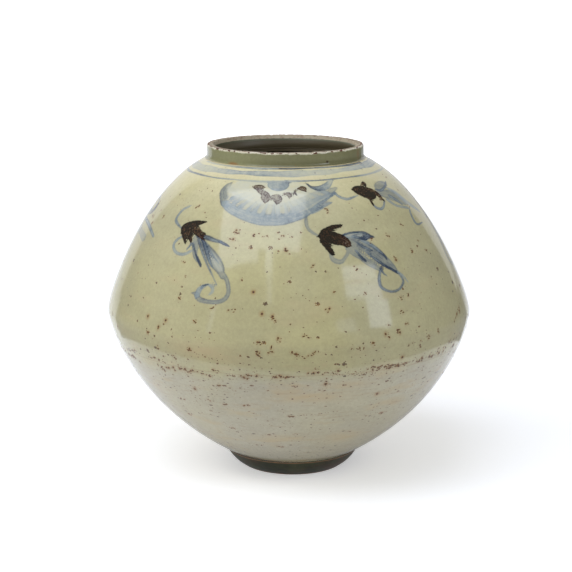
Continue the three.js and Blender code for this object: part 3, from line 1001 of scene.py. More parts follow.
def paint(mesh, wall, form):
    """Paints the bands and motifs of the upper bowl."""
    brush = bpy.context.scene.jar_brush
    places = Places(mesh, wall, form)
    inside = np.empty(len(mesh.vertices), np.float32)
    mesh.attributes["inside"].data.foreach_get("value", inside)
    work = Brushwork(mesh, places, wall, (inside < 0.5) & (places.height > RIM_ABOVE + 1 * MM))
    work.band("stroke", brush.band_depth, brush.band_width, 0.4, 0.5, 2.2, 1.0)
    work.band("vein", brush.line_depth, brush.line_width, 0.45, 0.5, 0.9, 2.0)
    for first, last, ink in COLLAR_LINES:
        depth, width = brush.collar_line_depth, brush.collar_line_width
        work.band("vein", depth, width, ink, 0.2, 0.0, 3.0, first, last)
    for strokes, angle, down, scale, turned, mirrored in PAINTING:
        work.motif(strokes, angle, down, scale, turned, mirrored)
    work.store()


# Shared effects of the materials

SHADING = "ShaderNodeTree"


def brush_group():
    """One layer of brushed ink: soft at its edge, pooled there, streaked along or blotched."""
    inputs = {
        COLOUR: ("Colour", "Thin Colour", "Deep Colour"),
        VECTOR: ("Place", "Field", "Load"),
        FLOAT: ("Strength", "Softness", "Streaks", "Blotches"),
    }
    bench, given, end = new_group("Brushed ink", SHADING, inputs, {COLOUR: ("Colour",)})
    across, half, along = bench.parts(given["Field"])
    near, ink, _ = bench.parts(given["Load"])
    fine = bench.ripple(given["Place"], 620.0, 2.0, 0.6)
    side = bench.less(half, bench.maths("ABSOLUTE", across))
    kept = bench.maths("MINIMUM", side, bench.total(near, 0.8))
    edge = bench.total(kept, bench.product(fine, bench.total(0.8, given["Blotches"])))
    mask = bench.between(edge, bench.product(given["Softness"], -1.0), given["Softness"])
    rim = bench.between(edge, 1.7, 0.2)
    hairs = bench.vector(bench.product(across, 0.8), bench.product(along, 0.06), 0.0)
    level = bench.total(
        1.0,
        bench.product(bench.ripple(hairs, 1.0, 2.0, 0.5), given["Streaks"]),
        bench.product(bench.ripple(given["Place"], 150.0, 3.0), 0.9),
        bench.product(fine, given["Blotches"], 2.4),
        bench.product(rim, 0.3),
    )
    wet = bench.product(ink, level)
    cover = bench.product(bench.between(wet, 0.0, 0.6, smooth=False), mask, given["Strength"])
    depth = bench.between(wet, 0.35, 1.05)
    pigment = bench.blended(depth, given["Thin Colour"], given["Deep Colour"])
    return finish_group(bench, end, {"Colour": bench.blended(cover, given["Colour"], pigment)})


def specks_group():
    """Clumps of rusty specks: some cells hold a clump, crumbled by fine noise, each its own size."""
    inputs = {VECTOR: ("Flat Place",), FLOAT: ("Cells", "Share", "Size")}
    outputs = {FLOAT: ("Mask", "Core", "Crust", "Tone")}
    bench, given, end = new_group("Iron specks", SHADING, inputs, outputs)
    flat = given["Flat Place"]
    sockets = {"Vector": flat, "Scale": given["Cells"]}
    cells = bench.node("ShaderNodeTexVoronoi", sockets, voronoi_dimensions="2D").outputs
    chance, girth, tone = bench.parts(cells["Color"])
    chosen = bench.maths("LESS_THAN", chance, given["Share"])
    radius = bench.product(given["Size"], bench.between(girth, 0, 1, 0.3, 1.0))
    distance = bench.maths("DIVIDE", cells["Distance"], radius)
    clump = bench.product(bench.between(distance, 1.0, 0.0), chosen)
    grain = bench.ripple(flat, 760.0, 1.0, 0.5)
    body = bench.total(bench.product(clump, 0.66), bench.product(grain, 2.6, clump), -0.2)
    results = {
        "Mask": bench.between(body, 0.0, 0.16),
        "Core": bench.between(body, 0.2, 0.42),
        "Crust": bench.product(bench.between(clump, 0.05, 0.5), bench.between(body, 0.0, -0.1)),
        "Tone": tone,
    }
    return finish_group(bench, end, results)


def mottle_group():
    """Cloudy unevenness of a glaze: broad patches, streaks round the jar and fine grain."""
    inputs = {VECTOR: ("Place",), COLOUR: ("Colour", "Warm Cast"), FLOAT: ("Amount",)}
    outputs = {COLOUR: ("Colour",), FLOAT: ("Height",)}
    bench, given, end = new_group("Glaze mottle", SHADING, inputs, outputs)
    place = given["Place"]
    broad = bench.cloud(place, 17.0, 4.0, 0.6)
    streaks = bench.smears(place, 4, 20.0, 4.0, 0.6)
    grain = bench.cloud(place, 330.0, 4.0, 0.75)
    shares = ((broad, 0.34), (streaks, 0.16), (grain, 0.42))
    level = bench.total(*(bench.product(bench.less(noise, 0.5), weight) for noise, weight in shares))
    factor = bench.total(1.0, bench.product(level, given["Amount"]))
    sockets = {0: given["Colour"], "Scale": factor}
    shaded = bench.made("ShaderNodeVectorMath", sockets, operation="SCALE")
    warm = bench.between(bench.cloud(place, 9.0, 2.0), 0.42, 0.68, 0.0, 0.35)
    warmed = bench.blended(warm, shaded, given["Warm Cast"], "MULTIPLY")
    height = bench.total(bench.product(streaks, 0.5), bench.product(grain, 0.06), broad)
    return finish_group(bench, end, {"Colour": warmed, "Height": height})


def mottled(bench, place, colour, amount=1.0):
    """A colour with the mottle of a glaze, and the relief that goes with it."""
    cast = bpy.context.scene.jar_glaze.warm_cast
    sockets = {"Place": place, "Colour": colour, "Warm Cast": cast, "Amount": amount}
    return bench.grouped("Glaze mottle", sockets)


# Clumps of specks: cells to the metre, reach in a cell, share of the cells that hold one (above the
# belly, more below it, more at the joint), and strength
SPECK_SIZES = (
    (45.0, 0.19, 0.2, 0.25, 0.3, 0.8),
    (85.0, 0.2, 0.26, 0.3, 0.4, 0.8),
    (170.0, 0.21, 0.12, 0.22, 0.35, 0.6),
)
# The radius at which the specks' flat pattern is true, and how much it is squeezed down the wall
PATTERN_RADIUS = 165 * MM
PATTERN_SQUEEZE = 1.2


def unwrapped(bench, place, down):
    """A flat place in metres: round the jar and down its wall, flattened below the joint."""
    x, y, _ = bench.parts(place)
    bearing = bench.maths("ARCTAN2", x, bench.product(y, -1.0))
    joint_down = Wall(bpy.context.scene.jar_form).at("way", JOINT)
    metres = bench.product(down, MM)
    further = bench.most(bench.less(metres, joint_down), 0.0)
    fall = bench.total(bench.product(metres, PATTERN_SQUEEZE), further)
    return bench.vector(bench.product(bearing, PATTERN_RADIUS), fall, 0.0)


# The dark glaze's edge on the foot, for each unit: how it falls towards +X and rises to the back,
# and how much higher it is at the axis than in front
DIP_FALL = 0.045
DIP_RISE = 0.085
DIP_AT_AXIS = 5.7 * MM


def body_glaze_group():
    """The glaze of both bowls, from the neck to the dark foot, with its stains and specks."""
    glaze = bpy.context.scene.jar_glaze
    inputs = {VECTOR: ("Place",), FLOAT: ("Down", "Rust", "Stain")}
    outputs = {COLOUR: ("Colour",), FLOAT: ("Height", "Specks")}
    bench, given, end = new_group("Body glaze", SHADING, inputs, outputs)
    place = given["Place"]
    x, y, z = bench.parts(place)
    wander = bench.product(bench.ripple(place, 45.0, 3.0), 9 * MM)
    level = bench.total(z, bench.product(x, -bpy.context.scene.jar_pits.tilt), wander)
    ramp = bench.node("ShaderNodeValToRGB", {0: bench.maths("DIVIDE", level, LIP)})
    # From above the joint down the stops are partly the glaze's own paler tone and partly painted light,
    # paler where the wall faces down
    stops = (
        (glaze.foot_line + 2 * MM, glaze.lower),
        (JOINT - 9 * MM, glaze.below_joint),
        (JOINT + 3 * MM, glaze.above_joint),
        (JOINT + 50 * MM, glaze.belly),
        (SHOULDER - 42 * MM, glaze.shoulder),
        (SHOULDER - 3 * MM, glaze.neck),
    )
    elements = ramp.color_ramp.elements
    for _ in stops[2:]:
        elements.new(0.5)
    # Twice, because the ramp sorts its stops each time that one moves
    for _ in range(2):
        for element, (height, colour) in zip(elements, stops):
            element.position = height / LIP
            element.color = opaque(colour)

    mottle = mottled(bench, place, ramp.outputs[0])
    low = bench.between(z, JOINT + 45 * MM, JOINT - 20 * MM)
    washes = bench.product(
        bench.between(bench.smears(place, 3.4, 21.0, 3.0, 0.55), 0.52, 0.74),
        bench.between(low, 0, 1, 0.25, 0.75),
        0.9,
    )
    broken = bench.between(bench.smears(place, 5, 60.0, 3.0, 0.6), 0.3, 0.6, 0.5, 1.0)
    peach = bench.most(washes, bench.product(given["Stain"], broken))
    stained = bench.blended(peach, mottle["Colour"], glaze.peach)
    thin = bench.between(bench.smears(place, 12, 38.0, 4.0, 0.65), 0.56, 0.7)
    stained = bench.blended(bench.product(thin, low, 0.18), stained, glaze.rust)
    colour = bench.blended(bench.product(given["Rust"], 0.62), stained, glaze.rust)

    near_joint = bench.near(level, JOINT, 30 * MM, 4 * MM)
    gathered = bench.between(bench.cloud(place, 26.0, 2.0), 0.38, 0.62, 0.35, 1.4)
    flat = unwrapped(bench, place, given["Down"])
    specks = 0.0
    for cells, girth, plain, lower, joined, strength in SPECK_SIZES:
        chance = bench.total(plain, bench.product(low, lower), bench.product(near_joint, joined))
        share_of_cells = bench.product(chance, gathered)
        clump = bench.grouped(
            "Iron specks",
            {"Flat Place": flat, "Cells": cells, "Share": share_of_cells, "Size": girth},
        )
        tone = bench.blended(clump["Tone"], glaze.rust, glaze.speck)
        colour = bench.blended(bench.product(clump["Crust"], 0.25), colour, glaze.crust)
        colour = bench.blended(bench.product(clump["Mask"], strength), colour, tone)
        core = bench.product(clump["Core"], strength)
        colour = bench.blended(core, colour, glaze.pit)
        specks = bench.most(core, specks)

    ragged = bench.product(bench.ripple(place, 120.0, 3.0), 2 * MM)
    slanted = bench.total(bench.product(x, DIP_FALL), bench.product(y, -DIP_RISE), -DIP_AT_AXIS)
    dipped = bench.total(z, ragged, slanted)
    edge = bench.between(dipped, glaze.foot_line + 0.9 * MM, glaze.foot_line - 0.1 * MM)
    colour = bench.blended(bench.product(edge, 0.85), colour, glaze.hem)
    dipping = bench.between(dipped, glaze.foot_line - 0.6 * MM, glaze.foot_line - 1.1 * MM)
    results = {
        "Colour": bench.blended(dipping, colour, dark_glaze(bench, place, glaze)),
        "Height": bench.total(mottle["Height"], bench.product(specks, -0.35)),
        "Specks": bench.most(specks, dipping),
    }
    return finish_group(bench, end, results)


def dark_glaze(bench, place, glaze):
    """The dark glaze of the foot: olive over brown, runny and patchy."""
    runs = bench.between(bench.smears(place, 0.6, 34.0, 3.0, 0.6), 0.42, 0.66)
    patches = bench.between(bench.smears(place, 2.5, 28.0, 4.0, 0.6), 0.5, 0.66, 0.0, 0.8)
    return bench.blended(patches, bench.blended(runs, glaze.foot, glaze.foot_light), glaze.foot_brown)


# Materials: each maker gives colour, roughness, relief, the relief's depth and the refractive index

def body_finish(bench, place, glaze, painted):
    """The glaze of a bowl, over brushwork where the bowl is painted."""
    carried = {label: bench.stored(label.lower()) for label in ("Down", "Rust", "Stain")}
    body = bench.grouped("Body glaze", {"Place": place, **carried})
    colour = brushed(bench, place, body["Colour"]) if painted else body["Colour"]
    # Painted shade: the inside faces are painted dark, in paler streaks
    inside = bench.stored("inside")
    shade_streaks = bench.between(bench.smears(place, 6, 30.0, 4.0, 0.6), 0.35, 0.7)
    dark = bench.blended(shade_streaks, glaze.inside, glaze.inside_shade_paler)
    colour = bench.blended(bench.between(inside, 0.45, 0.55), colour, dark)
    dulled = bench.total(bench.product(body["Specks"], 0.4), bench.product(inside, 0.3))
    return colour, bench.total(glaze.gloss, dulled), body["Height"], 0.12 * MM, glaze.stone_index


def brushed(bench, place, colour):
    """Each layer of ink in turn over a colour."""
    brush = bpy.context.scene.jar_brush
    labels = ("Thin Colour", "Deep Colour", "Strength", "Softness", "Streaks", "Blotches")
    inks = {
        "wash": (brush.grey_thin, brush.blue_deep, 0.88, 1.0, 0.8, 0.2),
        "stroke": (brush.blue_thin, brush.blue_deep, 0.92, 1.0, 0.5, 0.2),
        "white": (brush.white, brush.white, 0.85, 2.2, 0.9, 0.1),
        "vein": (brush.blue_thin, brush.blue_deep, 0.92, 0.7, 0.5, 0.25),
        "iron": (brush.iron_thin, brush.iron_deep, 0.97, 0.6, 0.6, 0.8),
    }
    for layer, values in inks.items():
        field, load = bench.stored(layer, "Vector"), bench.stored(layer + "_load", "Vector")
        sockets = {"Colour": colour, "Place": place, "Field": field, "Load": load}
        colour = bench.grouped("Brushed ink", sockets | dict(zip(labels, values)))["Colour"]
    return colour


# The way over the lip in mm, from the collar's outer edge, at which its worn bevel ends inside
BEVEL_END = 9.1


def collar_finish(bench, place, glaze):
    """Olive glaze on the collar, thin and white at the edge of a worn, rusty lip, with painted light on the
    left, painted shade low down and inside, and a painted highlight on the lip.
    """
    x, _, z = bench.parts(place)
    # Painted shade: darker low on the collar, full colour from about halfway up
    rise = bench.between(bench.between(z, COLLAR_BASE, LIP, smooth=False), 0.0, 0.55)
    outer = bench.blended(rise, glaze.collar_low_shade, glaze.collar)
    # Painted light: lighter towards the collar's left, where the light falls
    lit_from_left = bench.between(x, -5 * MM, -60 * MM, 0.0, 0.9)
    mottle = mottled(bench, place, bench.blended(lit_from_left, outer, glaze.collar_left_painted_light))
    flat = unwrapped(bench, place, bench.product(z, 1 / MM))
    specks = bench.grouped("Iron specks", {"Flat Place": flat, "Cells": 90.0, "Share": 0.2, "Size": 0.16})
    colour = bench.blended(bench.product(specks["Mask"], 0.6), mottle["Colour"], glaze.rust)

    over = bench.stored("lip")
    chips = bench.ripple(place, 420.0, 2.0, 0.6)
    waves = bench.ripple(place, 130.0, 2.0)
    ragged = bench.total(over, bench.product(waves, 3.0), bench.product(chips, 1.6))
    # The lip's outer rounding is pale: thin glaze with a painted highlight
    stages = ((-3.6, -2.4, glaze.lip_glaze_and_highlight), (-0.9, -0.2, glaze.lip_rust), (0.5, 1.3, glaze.lip_clay))
    for start, whole, paint_over in stages:
        colour = bench.blended(bench.between(ragged, start, whole), colour, paint_over)
    blemish = bench.product(
        bench.between(chips, 0.02, 0.12),
        bench.most(bench.near(over, 3.8, 1.0, 0.3), 0.45),
        bench.between(ragged, 0.3, 1.2),
    )
    colour = bench.blended(blemish, colour, glaze.lip_rust)
    dots = bench.product(
        bench.between(bench.cloud(place, 170.0, 1.0), 0.52, 0.57),
        bench.near(bench.total(over, bench.product(chips, 2.0)), -1.1, 2.0, 1.2),
    )
    colour = bench.blended(dots, colour, glaze.lip_dots)
    below_bevel = bench.total(over, chips)
    throat = bench.between(below_bevel, BEVEL_END - 0.3, BEVEL_END + 0.3)
    colour = bench.blended(throat, colour, glaze.throat)
    # Painted shade: dark deeper inside the mouth, below the throat
    colour = bench.blended(bench.between(below_bevel, 9.8, 12.2), colour, glaze.inside)
    colour = bench.blended(bench.stored("spot"), colour, glaze.pit)
    colour = bench.blended(bench.stored("stain"), colour, glaze.rust)

    clear_of_throat = bench.between(below_bevel, BEVEL_END + 0.3, BEVEL_END - 0.3)
    worn = bench.product(bench.between(ragged, -0.9, -0.2), clear_of_throat)
    dulled = bench.total(bench.product(worn, 0.55), bench.between(over, 8.0, 10.0, 0.0, 0.35))
    relief = bench.total(mottle["Height"], bench.product(worn, -0.8), bench.product(chips, worn))
    return colour, bench.total(glaze.gloss, dulled), relief, 0.15 * MM, glaze.stone_index


def foot_finish(bench, place, glaze):
    """Dark glaze over brown clay on the foot, worn to bare clay on the land."""
    _, _, z = bench.parts(place)
    mottle = mottled(bench, place, dark_glaze(bench, place, glaze), 1.3)
    wander = bench.product(bench.ripple(place, 140.0, 3.0), 3 * MM)
    land = bench.between(bench.total(z, wander), 1.7 * MM, 0.9 * MM)
    bare = bench.most(land, bench.stored("inside"))
    grain = bench.between(bench.cloud(place, 400.0, 4.0, 0.7), 0.3, 0.7)
    clay = bench.blended(grain, glaze.bare_clay, glaze.clay_dark)
    rising = bench.total(z, bench.product(wander, 0.3))
    hem = bench.between(rising, FOOT_TOP - 1.3 * MM, FOOT_TOP - 0.3 * MM, 0.0, 0.6)
    colour = bench.blended(bare, bench.blended(hem, mottle["Colour"], glaze.hem), clay)
    return colour, bench.between(bare, 0, 1, 0.38, 0.8), mottle["Height"], 0.2 * MM, glaze.dark_index


def slip_finish(bench, place, glaze, under_body_glaze):
    """Fired slip, under the jar's glaze outside and, in the body, under the painted shade of the jar's
    inside.
    """
    grain = bench.cloud(place, 600.0, 4.0, 0.7)
    slip = bench.blended(bench.between(grain, 0.3, 0.7), glaze.slip, glaze.bare_clay)
    if under_body_glaze:
        sockets = {"Place": place, "Down": bench.stored("down"), "Rust": 0.35}
        # In the body the slip's inside takes the painted shade of the jar's inside
        cover, hidden = bench.grouped("Body glaze", sockets)["Colour"], glaze.inside
    else:
        cover, hidden = dark_glaze(bench, place, glaze), slip
    inside = bench.stored("inside")
    colour = bench.blended(bench.between(inside, 0.1, 0.02), slip, cover)
    colour = bench.blended(bench.between(inside, 0.9, 0.98), colour, hidden)
    roughness = bench.between(inside, 0.02, 0.1, 0.15, 0.75)
    return colour, roughness, grain, 0.15 * MM, glaze.stone_index


def pit_finish(bench, place, glaze):
    """A burst bubble: black-brown in its middle, rusty on its rim."""
    rim = bench.stored("rim")
    shade = bench.total(rim, bench.product(bench.ripple(place, 900.0, 3.0), 0.7))
    colour = bench.blended(bench.between(shade, 0.35, 0.85), glaze.pit, glaze.rust)
    colour = bench.blended(bench.between(shade, 0.9, 1.15, 0.0, 0.7), colour, glaze.peach)
    return colour, bench.between(rim, 0, 1, 0.6, 0.2), shade, 0.08 * MM, glaze.stone_index


# Each material's maker, and what else that is told
MATERIALS = {
    "dark foot glaze": (foot_finish,),
    "pale body glaze": (body_finish, False),
    "olive body glaze": (body_finish, True),
    "slip at the foot": (slip_finish, False),
    "slip in the body": (slip_finish, True),
    "olive collar glaze": (collar_finish,),
    "burst bubble": (pit_finish,),
}


def material_named(name):
    """A material by name, made at its first use, after the effects that materials share."""
    if name in bpy.data.materials:
        return bpy.data.materials[name]
    if "Body glaze" not in bpy.data.node_groups:
        for make_group in (brush_group, specks_group, mottle_group, body_glaze_group):
            make_group()
    make, *told = MATERIALS[name]
    material, bench = emptied(bpy.data.materials.new(name))
    place = object_place(bench)
    glaze = bpy.context.scene.jar_glaze
    colour, roughness, relief, depth, index = make(bench, place, glaze, *told)
    bump = bench.made("ShaderNodeBump", {"Strength": 1.0, "Distance": depth, "Height": relief})
    sockets = {"Base Color": colour, "Roughness": roughness, "IOR": index, "Normal": bump}
    shader = bench.made("ShaderNodeBsdfPrincipled", sockets)
    bench.node("ShaderNodeOutputMaterial", {"Surface": shader})
    return material


def emptied(owner):
    """A material or world with no nodes, and its bench."""
    owner.use_nodes = True
    owner.node_tree.nodes.clear()
    return owner, Bench(owner.node_tree)


def object_place(bench):
    """The place on the piece, in metres."""
    return bench.node("ShaderNodeTexCoord").outputs["Object"]


# Profiles of the pieces

def foot_profile(form):
    """The foot ring: land, full side, scored seat and plain inside."""
    corner, top = np.array((form.land_outer, 0.0)), np.array((BASE_RADIUS, FOOT_TOP))
    side = top - corner
    outward = np.array((side[1], -side[0])) / np.linalg.norm(side)
    bottom = corner + side * form.land_edge / FOOT_TOP
    middle = corner + side * 0.5 + outward * form.foot_bulge * 2
    land_end = (form.land_outer - form.land_edge, 0)
    profile = Profile()
    profile.go(line((form.land_inner + form.land_edge, 0), land_end, 1 * MM))
    profile.go(rounded(land_end, corner, bottom))
    profile.go(rounded(bottom, middle, top, 22))
    ridges = seat(form.foot_seat, BASE_RADIUS, FOOT_TOP, form.score_width, FOOT_SCORE, 2)
    profile.go_across(ridges[::-1])
    inner = line((form.foot_seat, FOOT_TOP), (form.land_inner, form.land_edge), 1.5 * MM)
    return profile.go(inner, 1.0)


def rim_seat(form, wall, height):
    """The face of a rim at a height, with the key of the joined rims."""
    inner, outer = wall.at("inner", height), wall.at("outer", height)
    return seat(inner, outer, height, form.tongue_width, RIM_TONGUE, 1)


def lower_bowl_profile(form, wall):
    """The lower bowl: scored seat, outside, grooved rim, inside and floor."""
    floor_top = UNDERSIDE + form.floor
    corner_top = floor_top + form.floor_corner / 2
    corner = np.array((wall.at("inner", floor_top), floor_top))
    profile = Profile()
    profile.go(line((0, UNDERSIDE), (form.foot_seat, UNDERSIDE), 6 * MM), 1.0)
    profile.go_across(seat(form.foot_seat, BASE_RADIUS, UNDERSIDE, form.score_width, FOOT_SCORE, 2))
    profile.go(wall.face("outer", UNDERSIDE, RIM_BELOW, 1.8 * MM))
    profile.go_across(rim_seat(form, wall, RIM_BELOW)[::-1])
    profile.go(wall.face("inner", corner_top, RIM_BELOW, 3.5 * MM)[::-1], 1.0)
    floor_end = (corner[0] - form.floor_corner, floor_top)
    profile.go(rounded((wall.at("inner", corner_top), corner_top), corner, floor_end, 9), 1.0)
    return profile.go(line(floor_end, (0, floor_top), 5 * MM), 1.0)


# How far down the wall from the shoulder the sprays and the bands are painted, on finer clay
SPRAYS_REACH = 150 * MM
BANDS_REACH = 32 * MM


def upper_bowl_profile(form, wall):
    """The upper bowl: tongued rim, belly, shoulder, scored seat, mouth and inside."""
    throat = wall.throat(form.mouth_radius)
    sprays_from, bands_from = wall.height_at(SPRAYS_REACH), wall.height_at(BANDS_REACH)
    profile = Profile()
    profile.go_across(rim_seat(form, wall, RIM_ABOVE))
    profile.go(wall.face("outer", RIM_ABOVE, sprays_from, 2.6 * MM))
    profile.go(wall.face("outer", sprays_from, bands_from, 1.5 * MM))
    profile.go(wall.face("outer", bands_from, SHOULDER, 1.2 * MM))
    ridges = seat(form.mouth_radius, SEAT_RADIUS, SHOULDER, form.score_width, COLLAR_SCORE, 2)
    profile.go_across(ridges[::-1])
    profile.go(line((form.mouth_radius, SHOULDER), (form.mouth_radius, throat), 2.5 * MM), 1.0)
    return profile.go(wall.face("inner", RIM_ABOVE, throat, 9 * MM)[::-1], 1.0)


def collar_profile(form):
    """The collar: scored seat, spread base, outside, rounded lip, worn bevel and inside."""
    mouth, rounding = form.mouth_radius, form.lip_rounding
    outer = mouth + form.collar_wall
    bevel = np.array((mouth + form.lip_bevel_width, LIP))
    bevel_foot = np.array((mouth, LIP - form.lip_bevel_depth))
    soft = 0.6 * MM
    fine = 0.45 * MM
    flare_top = (outer, COLLAR_BASE + form.flare_height)
    slope = (bevel_foot - bevel) / np.linalg.norm(bevel_foot - bevel) * soft
    profile = Profile()
    profile.go_across(seat(mouth, SEAT_RADIUS, COLLAR_BASE, form.score_width, COLLAR_SCORE, 2))
    profile.go(rounded((SEAT_RADIUS, COLLAR_BASE), (outer, COLLAR_BASE), flare_top, 9))
    profile.go(line(flare_top, (outer, LIP - rounding), fine))
    profile.go(rounded((outer, LIP - rounding), (outer, LIP), (outer - rounding, LIP), 7))
    profile.go(line((outer - rounding, LIP), bevel + (soft, 0), fine))
    profile.go(rounded(bevel + (soft, 0), bevel, bevel + slope, 5), 1.0)
    profile.go(line(bevel + slope, bevel_foot - slope, fine), 1.0)
    profile.go(rounded(bevel_foot - slope, bevel_foot, bevel_foot - (0, soft), 5), 1.0)
    return profile.go(line(bevel_foot - (0, soft), (mouth, COLLAR_BASE), 0.8 * MM), 1.0)


def slip_profile(form, low, high, inner, outer, width, depth, ridges):
    """A layer of slip between two seats, with a bead squeezed out inside."""
    bead = min(inner) - form.slip_bead
    profile = Profile()
    profile.go_across(seat(inner[0], outer[0], low, width, depth, ridges))
    profile.go_across(seat(inner[1], outer[1], high, width, depth, ridges)[::-1])
    squeezed = rounded((inner[1], high), (bead, (low + high) / 2), (inner[0], low), 5)
    return profile.go(squeezed[1:-1], 1.0)


# Pits

# How many outlines the pits are given, and the share of pits that lie across the turning of the jar
PIT_SHAPES = 6
CROSSWISE_PITS = 0.15


def pit_shape(name, rng, sides=11):
    """A flat scab with an uneven outline, a raised rim and a sunken middle, one unit in radius."""
    angles = np.arange(sides) * math.tau / sides
    outline = 1 + rng.uniform(-0.22, 0.22, sides)
    # Radius and height of each ring of points, and how rusty it is
    rings = ((1.0, -0.08, 1.0), (0.72, 0.1, 0.8), (0.42, 0.05, 0.3))
    spots = []
    rims = []
    for radius, height, rim in rings:
        for angle, out in zip(angles, radius * outline):
            spots.append((out * math.cos(angle), out * math.sin(angle), height))
            rims.append(rim)
    spots.append((0, 0, 0.02))
    rims.append(0.0)
    faces = []
    for ring in range(len(rings) - 1):
        for side in range(sides):
            after = (side + 1) % sides
            outer, inner = ring * sides, (ring + 1) * sides
            faces.append((outer + side, outer + after, inner + after, inner + side))
    last = (len(rings) - 1) * sides
    faces += [(last + side, last + (side + 1) % sides, len(spots) - 1) for side in range(sides)]
    mesh = bpy.data.meshes.new(name)
    mesh.from_pydata(spots, [], faces)
    give(mesh, "rim", rims)
    return bpy.data.objects.new(name, mesh)


# Trails of pits: angle and height at both ends, number, spread in mm, largest radius in mm
PIT_TRAILS = (
    ((-5, 134), (1, 133), 14, 2.2, 1.3),
    ((11, 131), (11, 117), 6, 0.5, 0.9),
    ((1, 159), (4, 152), 7, 1.0, 0.9),
    ((4, 152), (9, 159), 10, 0.9, 0.9),
    ((-1, 89), (17, 93), 14, 0.5, 0.6),
    ((-31, 154), (-21, 145), 12, 0.9, 0.8),
    ((-20, 256), (2, 256), 18, 2.4, 0.8),
    ((24, 138), (45, 136), 26, 1.3, 1.2),
    ((31, 135), (39, 137), 16, 0.5, 1.3),
    ((45, 136), (70, 149), 26, 1.6, 1.2),
    ((70, 181), (61, 164), 14, 1.8, 1.1),
    ((18, 159), (22, 158), 7, 0.9, 0.7),
    ((-49, 138), (-24, 129), 18, 3.0, 1.4),
    ((-67, 134), (-57, 138), 10, 2.0, 1.0),
    ((12, 136), (27, 131), 60, 2.4, 0.45),
    ((-15, 93), (-4, 84), 9, 0.4, 0.45),
    ((-5, 189), (-4, 183), 5, 0.8, 0.9),
    ((38, 156), (48, 159), 14, 2.4, 0.5),
)
# Single deep pits: angle and height
PIT_DOTS = (
    (-48, 177), (-40, 177), (36, 144), (30, 108), (-11, 209), (-8, 191), (11, 125), (-33, 112),
)
# Clumps of small pits: angle and height
PIT_CLUMPS = (
    (-43, 170), (-47, 164), (-43, 150), (-31, 154), (-37, 144), (-47, 137), (-33, 130), (-26, 129),
    (-23, 136), (-57, 138), (-45, 127), (-23, 120), (-41, 96), (-29, 101), (-23, 99), (-44, 77),
    (-24, 193), (-17, 193), (-29, 180), (-9, 156), (-5, 158), (2, 156), (8, 141), (-14, 131), (-5, 131),
    (2, 123), (-15, 100), (0, 89), (-25, 69), (-9, 65), (1, 66), (26, 65), (-17, 48), (-5, 48),
    (-9, 166), (-3, 169), (5, 174), (31, 176), (34, 170), (38, 175), (37, 185), (30, 168), (25, 162),
    (53, 144), (59, 147), (51, 162), (46, 159), (67, 171), (36, 83), (-61, 261), (-39, 229), (-22, 252),
    (-36, 199), (-15, 219), (-43, 276), (18, 277), (33, 249), (53, 257), (60, 232), (51, 234), (41, 232),
    (42, 251), (15, 209), (25, 205), (41, 200), (38, 198), (24, 228), (8, 230), (-5, 189), (12, 193),
    (-20, 258), (-1, 245),
)
# Warm stains: angle, height, reach round the jar in degrees, reach up and down in mm, strength
STAINS = (
    (-27, 154, 10, 8, 0.75), (-19, 150, 8, 6, 0.6), (-33, 160, 6, 4, 0.35), (6, 111, 12, 6, 1.0),
    (18, 122, 8, 4, 0.8), (-6, 60, 14, 5, 0.5), (24, 58, 9, 7, 0.85), (33, 249, 1.2, 1.2, 0.9),
)
# The lowest height of a pit, and how far below the shoulder the scattered clumps end, in mm
PITS_FROM = 27
PITS_BELOW_SHOULDER = 12


def pit_places(pits, wall):
    """Angle, height and radius of every pit: ring, clumps, dots and trails."""
    rng = np.random.default_rng(pits.seed)
    joint = JOINT / MM
    smallest, largest = pits.smallest / MM, pits.largest / MM
    rows = []

    def add(angle, height, most):
        radius = smallest + (most - smallest) * rng.random() ** 1.25
        rows.append((angle, max(height, PITS_FROM), radius))

    def degrees_each(height):
        return math.degrees(MM / wall.at("outer", height * MM))

    def clump(angle, height):
        across, tall = (1.5, 1.2) if height > joint + 8 else (2.2, 0.6)
        degrees = degrees_each(height)
        for _ in range(rng.integers(3, 8)):
            beside, above = rng.normal(0, across) * degrees, rng.normal(0, tall)
            add(angle + beside, height + above, rng.uniform(0.6, 1.35))

    for _ in range(pits.clusters):
        middle, width, lift = rng.uniform(0, 360), rng.uniform(0.6, 3.4), rng.normal(0, 1.3)
        for _ in range(rng.integers(2, 8)):
            angle = middle + rng.normal(0, width)
            ring = joint + pits.tilt * BELLY_RADIUS / MM * math.sin(math.radians(angle))
            add(angle, ring + lift + rng.normal(0, 0.9), largest)
    for _ in range(pits.scattered):
        near_ring = rng.random() < 0.4
        top = SHOULDER / MM - PITS_BELOW_SHOULDER
        height = rng.normal(joint + 6, 17) if near_ring else rng.uniform(PITS_FROM + 1, top)
        clump(rng.uniform(66, 294), height)
    for angle, height in PIT_CLUMPS:
        clump(angle, height)
    for angle, height in PIT_DOTS:
        rows.append((angle, height, largest))
    for (angle, height), (last_angle, last_height), number, spread, big in PIT_TRAILS:
        for step in range(number):
            part = (step + rng.uniform(0.2, 0.8)) / number
            beside, above = rng.normal(0, spread) * degrees_each(height), rng.normal(0, spread / 2)
            level = height + (last_height - height) * part + above
            add(angle + (last_angle - angle) * part + beside, level, big)
    return np.array(rows)


